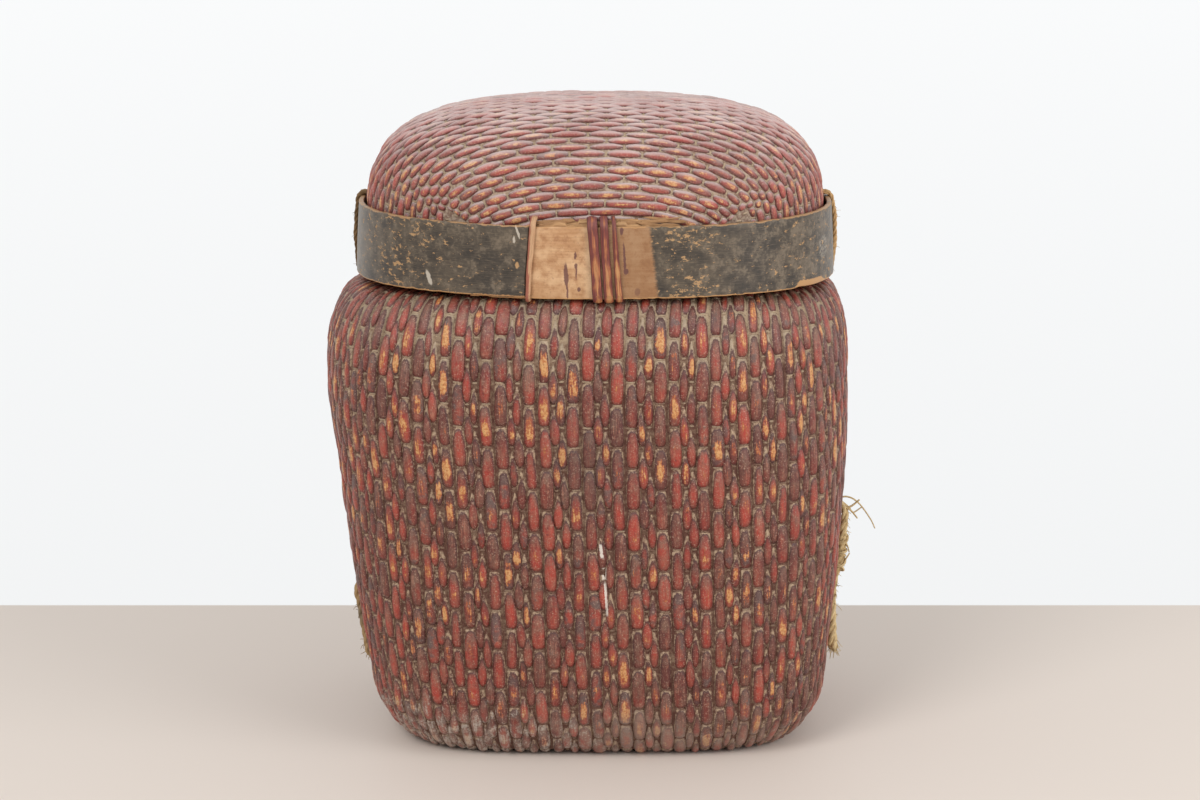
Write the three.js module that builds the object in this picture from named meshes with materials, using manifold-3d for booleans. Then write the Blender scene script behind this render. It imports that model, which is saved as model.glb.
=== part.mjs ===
// An old willow storage basket: a deep woven body with a bound rim, and a domed woven lid whose edge
// is clamped between bentwood hoops and slips down over the neck of the body.
// Millimetres, +Z up. The origin is the middle of the base, on the surface that the basket stands on.
import * as THREE from 'three';
import { mergeVertices } from 'three/addons/utils/BufferGeometryUtils.js';
import Module from 'manifold-3d';

const wasm = await Module();
wasm.setup();

// Plan: every level is a rounded rectangle, squarer at the base than at the mouth
const depthShort = 40; // half the depth is this much less than half the width
const basePower = 3.9; // how square the plan is: 2 is an ellipse
const mouthPower = 2.35;
const bellyShift = -8; // the body leans: its belly and mouth lie left of its base
const mouthShift = -2.4;

// Body, outer face of the weave
const baseHalfWidth = 141; // of the flat that it stands on
const footHeight = 40;
const footHalfWidth = 168.5;
const footPower = 1.37; // of the rounding between base and wall
const bellyHeight = 262;
const bellyHalfWidth = 190;
const wallBend = 197; // height where the wall's lower slope would meet the belly's upright
const ledgeHeight = 338.2; // the ledge round the neck, on which the lid rests
const shoulderPower = 3.2;
const neckHalfWidth = 148;
const neckHeight = 44;
const bodyWeave = 8; // thickness of rods and twine together

// Rods of the weave, which show as ribs of its outer face
const grooveDepth = 2.3; // between one rib's crown and the next
const rodGroups = 38; // round the belly, each a pair of wide rods and a pair of narrow ones
const groupOffset = 0.2; // the first wide pair stands this share of a group left of the front's middle
const narrowSunk = 0.7; // the narrow rods lie this much deeper
const narrowPlace = 0.5; // middle of the narrow pair, as a share of the group from the wide one
const groovePlace = 0.324; // and of the grooves each side of the wide pair
const lidRibWidth = 19.8; // three rods of the lid side by side
const lidRibsLow = 55; // the hoop and packing lie against a plain edge, this high above the lid's bottom
const lidRibsLap = 1; // the ribbed part of the dome runs on this far under that edge
const lidRibsMeet = 60; // the lines of the lid's ribs would meet at its sides, this far under its bottom
const lidRibEnd = 0.3; // where they stop, as an angle from that meeting point

// Rim of the body
const stripGap = 0.3; // between pieces that lie against each other
const rimStripThickness = 3;
const rimStripHeight = 24;
const rimCapHeight = 6;
const rimSplintThickness = 1.6;
const rimSplintWidth = 7;
const rimSplints = 8;
const splintGap = 0.6; // between a splint's loop and what it binds
const cornerRadius = 1.6; // where a splint turns round an edge

// Lid
const lidPlay = 2; // between the rim's splints and those inside the lid
const seatGap = 0.1; // between the lid's bindings and the highest part of the ledge
const bindingThickness = 2.6;
const innerHoopThickness = 3;
const innerHoopHeight = 26;
const lidWeave = 6.5;
const packingThickness = 3.3;
const packingHeight = 26;
const packingProud = 3; // how far it stands above the hoop
const packingFacets = 11; // its reach each side of the middle, in facets of the plan
const hoopThickness = 3.5;
const hoopHeight = 49.5;
const hoopRise = 2; // the hoop is this much taller at the sides than at the front
const hoopRisePower = 3;
const domeStraight = 27; // the weave runs upright this far before it curves in
const domeRise = 125.5; // from the lid's lower edge to its top
const domePower = 3.3;

// Overlap of the hoop's two ends, left of the middle of the front
const overlapEnd = -47; // where the outer end stops, from the middle of the lid
const overlapSlant = 4; // its lower corner lies this much further left
const overlapLength = 36;
const overlapSteps = 4;
const scarfThin = 1; // the inner end is thinned to this
const scarfLip = 1.8; // and the outer end to this
const scarfRun = 3; // length over which the strip steps out over the inner end

// Bindings of the lid: splints side by side at the middle of the front and back, and one at the overlap
const bindingWidth = 6;
const bindingSpacing = 1.8; // between neighbours
const splitBindingWidth = 4; // the rightmost has lost half its width
const leftBindingAcross = -1.5; // middle of the leftmost, from the middle of the lid
const bindingLean = 4; // a front binding's foot lies this much further right
const stepBindingWidth = 4.5;
const stepBindingBeside = 1; // its middle, from the end of the outer strip
const stepBindingLean = -4;
const backBindingAcross = 4.5; // each side of the middle
const lashingWidth = 9;
const lashingBack = 8; // the side lashings sit this far behind the middle
const lashingProud = 2; // and pass into the weave this far above the hoop

// What is left of the rope that carried the basket, threaded into each side wall
const ropeRadius = 3.2;
const ropeGap = 0.5; // between the rope and the wall it lies on
const ropeDive = 4.5; // how deep its ends go into the weave
const ropeBend = 9; // length over which an end turns in
const ropeStations = 6; // spans of the wall that its route is led over
const ropeSteps = 12;
const ropeSides = 8;
const leftRopeTop = 112;
const leftRopeBottom = 46;
const leftRopeForward = 16; // before the middle of the wall
const rightRopeTop = 168;
const rightRopeBottom = 52;
const rightRopeForward = 12;

// Facets
const aroundSteps = 60;
const outlinePoints = 120;
const footSteps = 4;
const wallSteps = 2;
const shoulderSteps = 6;
const ledgeGather = 1.4; // draws the shoulder's levels together toward the ledge
const ledgeRings = 2; // the ledge stays plain out to its second level, for the lid to rest on
const domeSteps = 8;
const lidRibSteps = 22;
const lidTiltStep = 0.002;
const halvings = 40;
const cornerSteps = 3;
const capSides = 4;
const cutMargin = 10; // how far a hollow's cutter stands out of its mouth
const sliver = 0.02; // edges shorter than this are closed up where the dome joins its edge

// Layers of the lid's edge, from the inside out, as half widths
const rimStripFace = neckHalfWidth + stripGap + rimStripThickness;
const rimSplintFace = rimStripFace + splintGap + rimSplintThickness;
const innerHoopInside = rimSplintFace + lidPlay + bindingThickness + splintGap;
const innerHoopFace = innerHoopInside + innerHoopThickness;
const lidWeaveInside = innerHoopFace + stripGap;
const lidWeaveFace = lidWeaveInside + lidWeave;
const packingInside = lidWeaveFace + stripGap;
const packingFace = packingInside + packingThickness;
const hoopInside = packingFace + stripGap;
const hoopFace = hoopInside + hoopThickness;

const ropes = [
  { name: 'carry_rope_left', side: -1, y: -leftRopeForward, top: leftRopeTop, bottom: leftRopeBottom },
  { name: 'carry_rope_right', side: 1, y: -rightRopeForward, top: rightRopeTop, bottom: rightRopeBottom },
];
const middleBindingAcross = leftBindingAcross + bindingWidth + bindingSpacing;
const rightBindingAcross = middleBindingAcross + (bindingWidth + splitBindingWidth) / 2 + bindingSpacing;

const rimTop = ledgeHeight + neckHeight;
const lidBottom = ledgeHeight + seatGap + bindingThickness + splintGap;

const finishes = {
  lacquer: { color: 0x6b2e2a, roughness: 0.55, metalness: 0 },
  paint: { color: 0x4a433c, roughness: 0.6, metalness: 0 },
  bareWood: { color: 0xb98b5c, roughness: 0.75, metalness: 0 },
  splint: { color: 0x7a3b30, roughness: 0.6, metalness: 0 },
  hemp: { color: 0xa8895c, roughness: 0.9, metalness: 0 },
};

// A point of a level's outline, in a given direction from its middle
function planPoint(level, angle) {
  const { halfWidth, halfDepth, power, x, z } = level;
  const c = Math.cos(angle);
  const s = Math.sin(angle);
  const reach = (Math.abs(c / halfWidth) ** power + Math.abs(s / halfDepth) ** power) ** (-1 / power);
  return new THREE.Vector3(x + reach * c, reach * s, z);
}

function planRing(level) {
  const ring = [];
  for (let i = 0; i < aroundSteps; i += 1) {
    ring.push(planPoint(level, (2 * Math.PI * i) / aroundSteps));
  }
  return ring;
}

// A level of the lid's edge or of the neck, which share one plan
function mouthLevel(halfWidth, z) {
  return { halfWidth, halfDepth: halfWidth - depthShort, power: mouthPower, x: mouthShift, z };
}

// Joins rings of equally many points into one closed surface that faces out
function skin(rings, closed) {
  const count = rings[0].length;
  const points = rings.flat();
  const index = [];
  const joins = closed ? rings.length : rings.length - 1;
  for (let i = 0; i < joins; i += 1) {
    const here = i * count;
    const next = ((i + 1) % rings.length) * count;
    for (let j = 0; j < count; j += 1) {
      const k = (j + 1) % count;
      index.push(here + j, here + k, next + k, here + j, next + k, next + j);
    }
  }
  if (!closed) {
    for (const [start, flip] of [[0, true], [(rings.length - 1) * count, false]]) {
      const middle = new THREE.Vector3();
      for (let j = 0; j < count; j += 1) middle.addScaledVector(points[start + j], 1 / count);
      points.push(middle);
      for (let j = 0; j < count; j += 1) {
        const a = start + j;
        const b = start + ((j + 1) % count);
        index.push(...(flip ? [b, a, points.length - 1] : [a, b, points.length - 1]));
      }
    }
  }
  return facingOut(points, index);
}

function facingOut(points, index) {
  let volume = 0;
  const cross = new THREE.Vector3();
  for (let i = 0; i < index.length; i += 3) {
    cross.crossVectors(points[index[i + 1]], points[index[i + 2]]);
    volume += points[index[i]].dot(cross);
  }
  const geometry = new THREE.BufferGeometry();
  const places = points.flatMap((point) => point.toArray());
  geometry.setAttribute('position', new THREE.Float32BufferAttribute(places, 3));
  geometry.setIndex(volume < 0 ? index.toReversed() : index);
  return geometry;
}

// Solid of a closed geometry, for cutting
function toSolid(geometry) {
  const bare = geometry.clone();
  bare.deleteAttribute('normal');
  bare.deleteAttribute('uv');
  const merged = mergeVertices(bare);
  return new wasm.Manifold(new wasm.Mesh({
    numProp: 3,
    vertProperties: new Float32Array(merged.attributes.position.array),
    triVerts: new Uint32Array(merged.index.array),
  }));
}

function cutBy(body, tools) {
  let solid = body;
  for (const tool of tools) solid = solid.subtract(toSolid(tool));
  const mesh = solid.getMesh();
  const cut = new THREE.BufferGeometry();
  cut.setAttribute('position', new THREE.Float32BufferAttribute(mesh.vertProperties, 3));
  cut.setIndex(Array.from(mesh.triVerts));
  return cut;
}

// One half of a rounding: from (fromX, fromZ), where it runs level, to (toX, toZ), where it is upright.
// Over 1, gather draws its points together at the level end.
function rounding(fromX, fromZ, toX, toZ, power, steps, gather = 1) {
  const points = [];
  for (let i = 0; i <= steps; i += 1) {
    const turn = (Math.PI / 2) * (i / steps) ** gather;
    const out = Math.sin(turn) ** (2 / power);
    const up = 1 - Math.cos(turn) ** (2 / power);
    points.push([fromX + (toX - fromX) * out, fromZ + (toZ - fromZ) * up]);
  }
  return points;
}

// Levels of the body's weave from the base to the rim, a given depth under its outer face
function bodyLevels(inset) {
  const footIn = footHalfWidth - inset;
  const foot = rounding(baseHalfWidth - inset, inset, footIn, footHeight, footPower, footSteps);
  const wall = new THREE.QuadraticBezierCurve(
    new THREE.Vector2(footIn, footHeight),
    new THREE.Vector2(bellyHalfWidth - inset, wallBend),
    new THREE.Vector2(bellyHalfWidth - inset, bellyHeight),
  ).getPoints(wallSteps).map((p) => [p.x, p.y]);
  const neck = neckHalfWidth - inset;
  const ledge = ledgeHeight - inset;
  const belly = bellyHalfWidth - inset;
  const shoulder = rounding(neck, ledge, belly, bellyHeight, shoulderPower, shoulderSteps, ledgeGather);
  const profile = [...foot, ...wall.slice(1), ...shoulder.reverse().slice(1), [neck, rimTop]];
  return profile.map(([halfWidth, z]) => {
    const level = mouthLevel(halfWidth, z);
    level.power = basePower + (mouthPower - basePower) * Math.min(z / ledgeHeight, 1);
    const drawnIn = (bellyHalfWidth - inset - halfWidth) / (bellyHalfWidth - neckHalfWidth);
    const above = bellyShift + (mouthShift - bellyShift) * drawnIn;
    level.x = z < bellyHeight ? bellyShift * (z / bellyHeight) : above;
    return level;
  });
}

// Level of the body's outer face at a height of its wall
function wallLevel(z) {
  const levels = bodyLevels(0);
  const above = levels.findIndex((level) => level.z > z);
  const [low, high] = [levels[above - 1], levels[above]];
  const part = (z - low.z) / (high.z - low.z);
  const mixed = {};
  for (const key of Object.keys(low)) mixed[key] = THREE.MathUtils.lerp(low[key], high[key], part);
  return mixed;
}

// A level's outline as a curve that starts at the middle of the front
function outlineOf(level) {
  const points = [];
  for (let i = 0; i < outlinePoints; i += 1) {
    points.push(planPoint(level, (2 * Math.PI * i) / outlinePoints - Math.PI / 2));
  }
  return new THREE.CatmullRomCurve3(points, true);
}

// Outer face of the body, ribbed from the base's edge to the ledge. The rods keep their distance on the
// front and back, and crowd together round the sides where the body narrows.
function bodyRings() {
  const ribs = [
    { place: 0, deep: 0 },
    { place: groovePlace, deep: grooveDepth },
    { place: narrowPlace, deep: narrowSunk },
    { place: 1 - groovePlace, deep: grooveDepth },
  ];
  const levels = bodyLevels(0).slice(0, -1);
  const belly = Math.max(...levels.map((level) => outlineOf(level).getLength()));
  return levels.map((level, i) => {
    const plain = i === 0 || i >= levels.length - ledgeRings;
    const curves = ribs.map(({ deep }) => outlineOf(plain ? level : bodyLevels(deep)[i]));
    const ring = [];
    for (let group = 0; group < rodGroups; group += 1) {
      ribs.forEach(({ place }, rib) => {
        const share = (group + place - groupOffset + 1) / rodGroups;
        const crowded = share - Math.sin(4 * Math.PI * share) / (4 * Math.PI);
        const length = curves[rib].getLength();
        const distance = belly * share - (belly - length) * crowded;
        ring.push(curves[rib].getPointAt((distance / length) % 1));
      });
    }
    return ring;
  });
}

function bodyWeaveSolid() {
  const neck = [ledgeHeight - bodyWeave / 2, rimTop].map((z) => planRing(mouthLevel(neckHalfWidth, z)));
  const inside = bodyLevels(bodyWeave);
  inside.push({ ...inside[inside.length - 1], z: rimTop + cutMargin });
  const filled = toSolid(skin(bodyRings(), false)).add(toSolid(skin(neck, false)));
  return filled.subtract(toSolid(skin(inside.map(planRing), false)));
}

// Levels of the lid's weave from its lower edge to the top of the dome
function domeLevels(inset) {
  const halfWidth = lidWeaveFace - inset;
  const halfDepth = halfWidth - depthShort;
  const springs = lidBottom + domeStraight;
  const height = domeRise - domeStraight - inset;
  const levels = [mouthLevel(halfWidth, lidBottom)];
  for (let i = 0; i < domeSteps; i += 1) {
    const turn = (Math.PI / 2) * (i / domeSteps);
    const share = Math.cos(turn) ** (2 / domePower);
    const level = mouthLevel(halfWidth * share, springs + height * Math.sin(turn) ** (2 / domePower));
    level.halfDepth = halfDepth * share;
    levels.push(level);
  }
  return levels;
}

// Point of the dome's outer face, or deep under it, seen from where its ribs' lines would meet. The tilt
// is from upright toward the back, and the turn from the right over the top to the left.
function domePoint(tilt, turn, deep = 0) {
  const up = Math.sin(turn) * Math.cos(tilt);
  const toward = new THREE.Vector3(Math.cos(turn), Math.sin(turn) * Math.sin(tilt), up);
  const level = mouthLevel(lidWeaveFace, lidBottom - lidRibsMeet);
  const outward = (Math.abs(toward.x / level.halfWidth) ** mouthPower
    + Math.abs(toward.y / level.halfDepth) ** mouthPower) ** (1 / mouthPower);
  let [near, far] = [0, 2 * lidWeaveFace];
  for (let i = 0; i < halvings; i += 1) {
    const middle = (near + far) / 2;
    const risen = Math.max(middle * up - lidRibsMeet - domeStraight, 0) / (domeRise - domeStraight);
    if ((middle * outward) ** domePower + risen ** domePower < 1) near = middle;
    else far = middle;
  }
  return toward.multiplyScalar(near - deep).add(new THREE.Vector3(level.x, 0, level.z));
}

// Tilts of the lines that run along the ribs' crowns and grooves in turn, evenly spaced over the top
function ribTilts() {
  const tilts = [0];
  let walked = 0;
  let last = domePoint(0, Math.PI / 2);
  for (let tilt = lidTiltStep; last.z > lidBottom + domeStraight; tilt += lidTiltStep) {
    const point = domePoint(tilt, Math.PI / 2);
    walked += point.distanceTo(last);
    last = point;
    if (walked > (tilts.length * lidRibWidth) / 2) tilts.push(tilt);
  }
  return [...tilts.slice(1).reverse().map((tilt) => -tilt), ...tilts];
}

// The dome with its rods as ribs from side to side, filled in down to the point where they would meet
function ribbedDome() {
  const tilts = ribTilts();
  const points = [new THREE.Vector3(mouthShift, 0, lidBottom - lidRibsMeet)];
  const crown = (tilts.length - 1) / 2;
  tilts.forEach((tilt, row) => {
    for (let i = 0; i <= lidRibSteps; i += 1) {
      const turn = THREE.MathUtils.lerp(lidRibEnd, Math.PI - lidRibEnd, i / lidRibSteps);
      points.push(domePoint(tilt, turn, (row - crown) % 2 ? grooveDepth : 0));
    }
  });
  const wide = lidRibSteps + 1;
  const index = [];
  const last = (tilts.length - 1) * wide;
  for (let row = 0; row < tilts.length - 1; row += 1) {
    for (let i = 1; i < wide; i += 1) {
      const a = row * wide + i;
      index.push(a, a + 1, a + 1 + wide, a, a + 1 + wide, a + wide);
    }
    const [right, left] = [row * wide + 1, row * wide + wide];
    index.push(0, right, right + wide, 0, left + wide, left);
  }
  for (let i = 1; i < wide; i += 1) index.push(0, i + 1, i, 0, last + i, last + i + 1);
  return facingOut(points, index);
}

function lidWeaveSolid() {
  const join = lidBottom + lidRibsLow;
  const edge = toSolid(skin(domeLevels(0).map(planRing), false)).trimByPlane([0, 0, -1], -join);
  const dome = toSolid(ribbedDome()).trimByPlane([0, 0, 1], join - lidRibsLap);
  const inside = domeLevels(lidWeave);
  inside.unshift({ ...inside[0], z: lidBottom - cutMargin });
  return edge.add(dome).simplify(sliver).subtract(toSolid(skin(inside.map(planRing), false)));
}

// A full bent strip between two half widths
function hoopGeometry(inside, face, low, high) {
  const section = [[inside, low], [face, low], [face, high], [inside, high]];
  return skin(section.map(([halfWidth, z]) => planRing(mouthLevel(halfWidth, z))), true);
}

// The rod that caps the rim's edge, flat below and round above
function rimCapGeometry() {
  const inside = neckHalfWidth - bodyWeave - stripGap - rimStripThickness;
  const middle = (inside + rimStripFace) / 2;
  const reach = (rimStripFace - inside) / 2;
  const rings = [];
  for (let i = 0; i <= capSides; i += 1) {
    const turn = (Math.PI * i) / capSides;
    const z = rimTop + stripGap + rimCapHeight * Math.sin(turn);
    rings.push(planRing(mouthLevel(middle - reach * Math.cos(turn), z)));
  }
  return skin(rings, true);
}

// The hoop's plan direction at a distance across the front, and at a distance back along a side
function frontAngle(across) {
  const level = mouthLevel(hoopFace, 0);
  const share = (1 - Math.abs(across / level.halfWidth) ** mouthPower) ** (1 / mouthPower);
  return Math.atan2(-level.halfDepth * share, across);
}

function sideAngle(side, back) {
  const level = mouthLevel(hoopFace, 0);
  const out = level.halfWidth * (1 - Math.abs(back / level.halfDepth) ** mouthPower) ** (1 / mouthPower);
  return Math.atan2(back, side * out);
}

function hoopTop(angle) {
  const point = planPoint(mouthLevel(hoopFace, 0), angle);
  const sideways = Math.abs(point.x - mouthShift) / hoopFace;
  return lidBottom + hoopHeight + hoopRise * sideways ** hoopRisePower;
}

// The outer hoop: one strip whose right end runs on under its left end
function lidHoopGeometry() {
  const hidden = frontAngle(overlapEnd - overlapLength);
  const lip = frontAngle(overlapEnd);
  const slant = frontAngle(overlapEnd - overlapSlant) - lip;
  const step = (2 * Math.PI) / aroundSteps;
  const sections = [];
  const section = (angle, inside, face, lean = 0) => {
    const top = hoopTop(angle);
    sections.push([
      planPoint(mouthLevel(inside, lidBottom), angle + lean),
      planPoint(mouthLevel(face, lidBottom), angle + lean),
      planPoint(mouthLevel(face, top), angle),
      planPoint(mouthLevel(inside, top), angle),
    ]);
  };
  for (let i = 0; i <= overlapSteps; i += 1) {
    const part = i / overlapSteps;
    const thick = THREE.MathUtils.lerp(scarfThin, hoopThickness, part);
    section(THREE.MathUtils.lerp(hidden, lip, part), hoopInside, hoopInside + thick);
  }
  const last = hidden + 2 * Math.PI - step / 2;
  for (let angle = (Math.floor(lip / step) + 1) * step; angle < last; angle += step) {
    section(angle, hoopInside, hoopFace);
  }
  const stepOut = frontAngle(overlapEnd - overlapLength - scarfRun);
  section(stepOut + 2 * Math.PI, hoopInside, hoopFace);
  for (let i = 0; i <= overlapSteps; i += 1) {
    const part = i / overlapSteps;
    const under = THREE.MathUtils.lerp(scarfThin, hoopThickness, part) + stripGap;
    const thick = THREE.MathUtils.lerp(hoopThickness - scarfThin - stripGap, scarfLip, part);
    const angle = THREE.MathUtils.lerp(hidden, lip, part) + 2 * Math.PI;
    section(angle, hoopInside + under, hoopInside + under + thick, i === overlapSteps ? slant : 0);
  }
  return skin(sections, false);
}

// Split wood packed between dome and hoop, on the front or the back
function packingGeometry(middle) {
  const sections = [];
  for (let i = -packingFacets; i <= packingFacets; i += 1) {
    const angle = middle + (2 * Math.PI * i) / aroundSteps;
    const high = hoopTop(angle) + packingProud;
    const low = high - packingHeight;
    const corners = [[packingInside, low], [packingFace, low], [packingFace, high], [packingInside, high]];
    sections.push(corners.map(([halfWidth, z]) => planPoint(mouthLevel(halfWidth, z), angle)));
  }
  return skin(sections, false);
}

// Where a loop stands on the edge: a point, the way out from there, and how far out each layer lies
function standAt(angle, halfWidth) {
  const level = mouthLevel(halfWidth, 0);
  const point = planPoint(level, angle);
  const slope = (distance, half) => (
    (Math.sign(distance) * Math.abs(distance / half) ** (mouthPower - 1)) / half);
  const out = new THREE.Vector3(slope(point.x - level.x, halfWidth), slope(point.y, level.halfDepth), 0);
  out.normalize();
  const dual = mouthPower / (mouthPower - 1);
  const reach = (half) => (
    Math.abs(half * out.x) ** dual + Math.abs((half - depthShort) * out.y) ** dual) ** (1 / dual);
  const along = new THREE.Vector3(-out.y, out.x, 0);
  return { point, out, along, layer: (half) => reach(half) - reach(halfWidth) };
}

// Turns the corners of an outline into short curves
function roundedCorners(corners) {
  const points = [];
  corners.forEach((corner, i) => {
    const before = corners[(i + corners.length - 1) % corners.length];
    const after = corners[(i + 1) % corners.length];
    const start = corner.clone().add(before.clone().sub(corner).setLength(cornerRadius));
    const end = corner.clone().add(after.clone().sub(corner).setLength(cornerRadius));
    points.push(...new THREE.QuadraticBezierCurve(start, corner, end).getPoints(cornerSteps));
  });
  return points;
}

// A flat splint closed round an outline of half widths and heights. The outline runs clockwise as seen
// with the way out to the right. grow makes the loop fatter all round, as the cutter of its own slot.
function loopGeometry(stand, outline, thickness, width, lean, grow = 0) {
  const corners = outline.map(([halfWidth, z]) => new THREE.Vector2(stand.layer(halfWidth), z));
  const path = roundedCorners(corners);
  const heights = path.map((p) => p.y);
  const middle = (Math.min(...heights) + Math.max(...heights)) / 2;
  const tall = Math.max(...heights) - Math.min(...heights);
  const rings = path.map((p, i) => {
    const before = path[(i + path.length - 1) % path.length];
    const after = path[(i + 1) % path.length];
    const toward = after.clone().sub(before).normalize();
    const away = new THREE.Vector2(-toward.y, toward.x);
    const shift = (-lean * (p.y - middle)) / tall;
    const corner = (off, across) => stand.point.clone()
      .addScaledVector(stand.out, p.x + away.x * off)
      .addScaledVector(stand.along, shift + across)
      .setZ(p.y + away.y * off);
    const half = width / 2 + grow;
    const face = thickness + grow;
    return [corner(-grow, -half), corner(face, -half), corner(face, half), corner(-grow, half)];
  });
  return skin(rings, true);
}

// Outline of the stack that a rim splint binds: cap, outer strip, weave and inner strip
function rimSplintLoop(number, grow) {
  const inside = neckHalfWidth - bodyWeave - stripGap - rimStripThickness - splintGap;
  const low = rimTop - rimStripHeight - splintGap;
  const high = rimTop + stripGap + rimCapHeight + splintGap;
  const face = rimStripFace + splintGap;
  const stand = standAt((2 * Math.PI * (number + 0.5)) / rimSplints, rimStripFace);
  const outline = [[face, low], [inside, low], [inside, high], [face, high]];
  return loopGeometry(stand, outline, rimSplintThickness, rimSplintWidth, 0, grow);
}

// Outline of the stack that a binding of the lid goes round, over the packing where there is some
function lidLoop(angle, width, lean, proud, grow) {
  const stand = standAt(angle, hoopFace);
  const top = hoopTop(angle);
  const inside = innerHoopInside - splintGap;
  const low = lidBottom - splintGap;
  const high = top + proud + splintGap;
  const face = hoopFace + splintGap;
  const outline = [[face, low], [inside, low], [inside, high], [hoopInside, high], [face, top + splintGap]];
  return loopGeometry(stand, outline, bindingThickness, width, lean, grow);
}

// A binding of the lid: name, direction from the middle, width, lean and how far above the hoop it goes
function binding(name, angle, width, lean, proud) {
  return { name, angle, width, lean, proud };
}

const stepAngle = frontAngle(overlapEnd + stepBindingBeside);
const leftAngle = frontAngle(leftBindingAcross);
const middleAngle = frontAngle(middleBindingAcross);
const rightAngle = frontAngle(rightBindingAcross);
const lidBindings = [
  binding('overlap_binding', stepAngle, stepBindingWidth, stepBindingLean, packingProud),
  binding('front_binding_left', leftAngle, bindingWidth, bindingLean, packingProud),
  binding('front_binding_middle', middleAngle, bindingWidth, bindingLean, packingProud),
  binding('front_binding_right', rightAngle, splitBindingWidth, bindingLean, packingProud),
  binding('back_binding_left', -frontAngle(-backBindingAcross), bindingWidth, 0, packingProud),
  binding('back_binding_right', -frontAngle(backBindingAcross), bindingWidth, 0, packingProud),
  binding('lid_lashing_left', sideAngle(-1, lashingBack), lashingWidth, 0, lashingProud),
  binding('lid_lashing_right', sideAngle(1, lashingBack), lashingWidth, 0, lashingProud),
];

// A rope down a side wall, with both ends turned into the weave
function ropeGeometry(rope, grow = 0) {
  const onWall = (z, off) => {
    const level = wallLevel(z);
    const share = (1 - Math.abs(rope.y / level.halfDepth) ** level.power) ** (1 / level.power);
    return new THREE.Vector3(level.x + rope.side * (level.halfWidth * share + off), rope.y, z);
  };
  const off = ropeGap + ropeRadius;
  const points = [onWall(rope.top, -ropeDive)];
  const run = rope.top - rope.bottom - 2 * ropeBend;
  for (let i = 0; i <= ropeStations; i += 1) {
    points.push(onWall(rope.top - ropeBend - (run * i) / ropeStations, off));
  }
  points.push(onWall(rope.bottom, -ropeDive));
  const section = new THREE.Shape();
  for (let i = 0; i < ropeSides; i += 1) {
    const turn = (2 * Math.PI * i) / ropeSides;
    const radius = ropeRadius + grow;
    section[i ? 'lineTo' : 'moveTo'](radius * Math.cos(turn), radius * Math.sin(turn));
  }
  section.closePath();
  return new THREE.ExtrudeGeometry(section, {
    steps: ropeSteps,
    extrudePath: new THREE.CatmullRomCurve3(points, false, 'centripetal'),
    bevelEnabled: false,
  });
}

function piece(name, geometry, finish) {
  const mesh = new THREE.Mesh(geometry, new THREE.MeshStandardMaterial(finishes[finish]));
  mesh.name = name;
  return mesh;
}

function buildBasket() {
  const basket = new THREE.Group();
  const splintSlots = [];
  for (let i = 0; i < rimSplints; i += 1) {
    basket.add(piece(`rim_splint_${i + 1}`, rimSplintLoop(i, 0), 'splint'));
    splintSlots.push(rimSplintLoop(i, stripGap));
  }
  const ropeHoles = [];
  for (const rope of ropes) {
    basket.add(piece(rope.name, ropeGeometry(rope), 'hemp'));
    ropeHoles.push(ropeGeometry(rope, stripGap));
  }
  const weave = cutBy(bodyWeaveSolid(), [...splintSlots, ...ropeHoles]);
  basket.add(piece('body_weave', weave, 'lacquer'));
  const low = rimTop - rimStripHeight;
  const outside = neckHalfWidth + stripGap;
  const inside = neckHalfWidth - bodyWeave - stripGap;
  basket.add(piece('rim_outer_strip', hoopGeometry(outside, rimStripFace, low, rimTop), 'bareWood'));
  const innerStrip = hoopGeometry(inside - rimStripThickness, inside, low, rimTop);
  basket.add(piece('rim_inner_strip', innerStrip, 'bareWood'));
  basket.add(piece('rim_cap_rod', rimCapGeometry(), 'bareWood'));
  return basket;
}

function buildLid() {
  const lid = new THREE.Group();
  const slots = [];
  for (const { name, angle, width, lean, proud } of lidBindings) {
    lid.add(piece(name, lidLoop(angle, width, lean, proud, 0), name.startsWith('lid') ? 'hemp' : 'splint'));
    slots.push(lidLoop(angle, width, lean, proud, stripGap));
  }
  const innerHoop = hoopGeometry(innerHoopInside, innerHoopFace, lidBottom, lidBottom + innerHoopHeight);
  lid.add(piece('lid_weave', cutBy(lidWeaveSolid(), slots), 'lacquer'));
  lid.add(piece('lid_outer_hoop', lidHoopGeometry(), 'paint'));
  lid.add(piece('lid_inner_hoop', innerHoop, 'bareWood'));
  lid.add(piece('lid_packing_front', packingGeometry(-Math.PI / 2), 'bareWood'));
  lid.add(piece('lid_packing_back', packingGeometry(Math.PI / 2), 'bareWood'));
  return lid;
}

const group = new THREE.Group();
group.add(buildBasket(), buildLid());

export default group;
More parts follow.
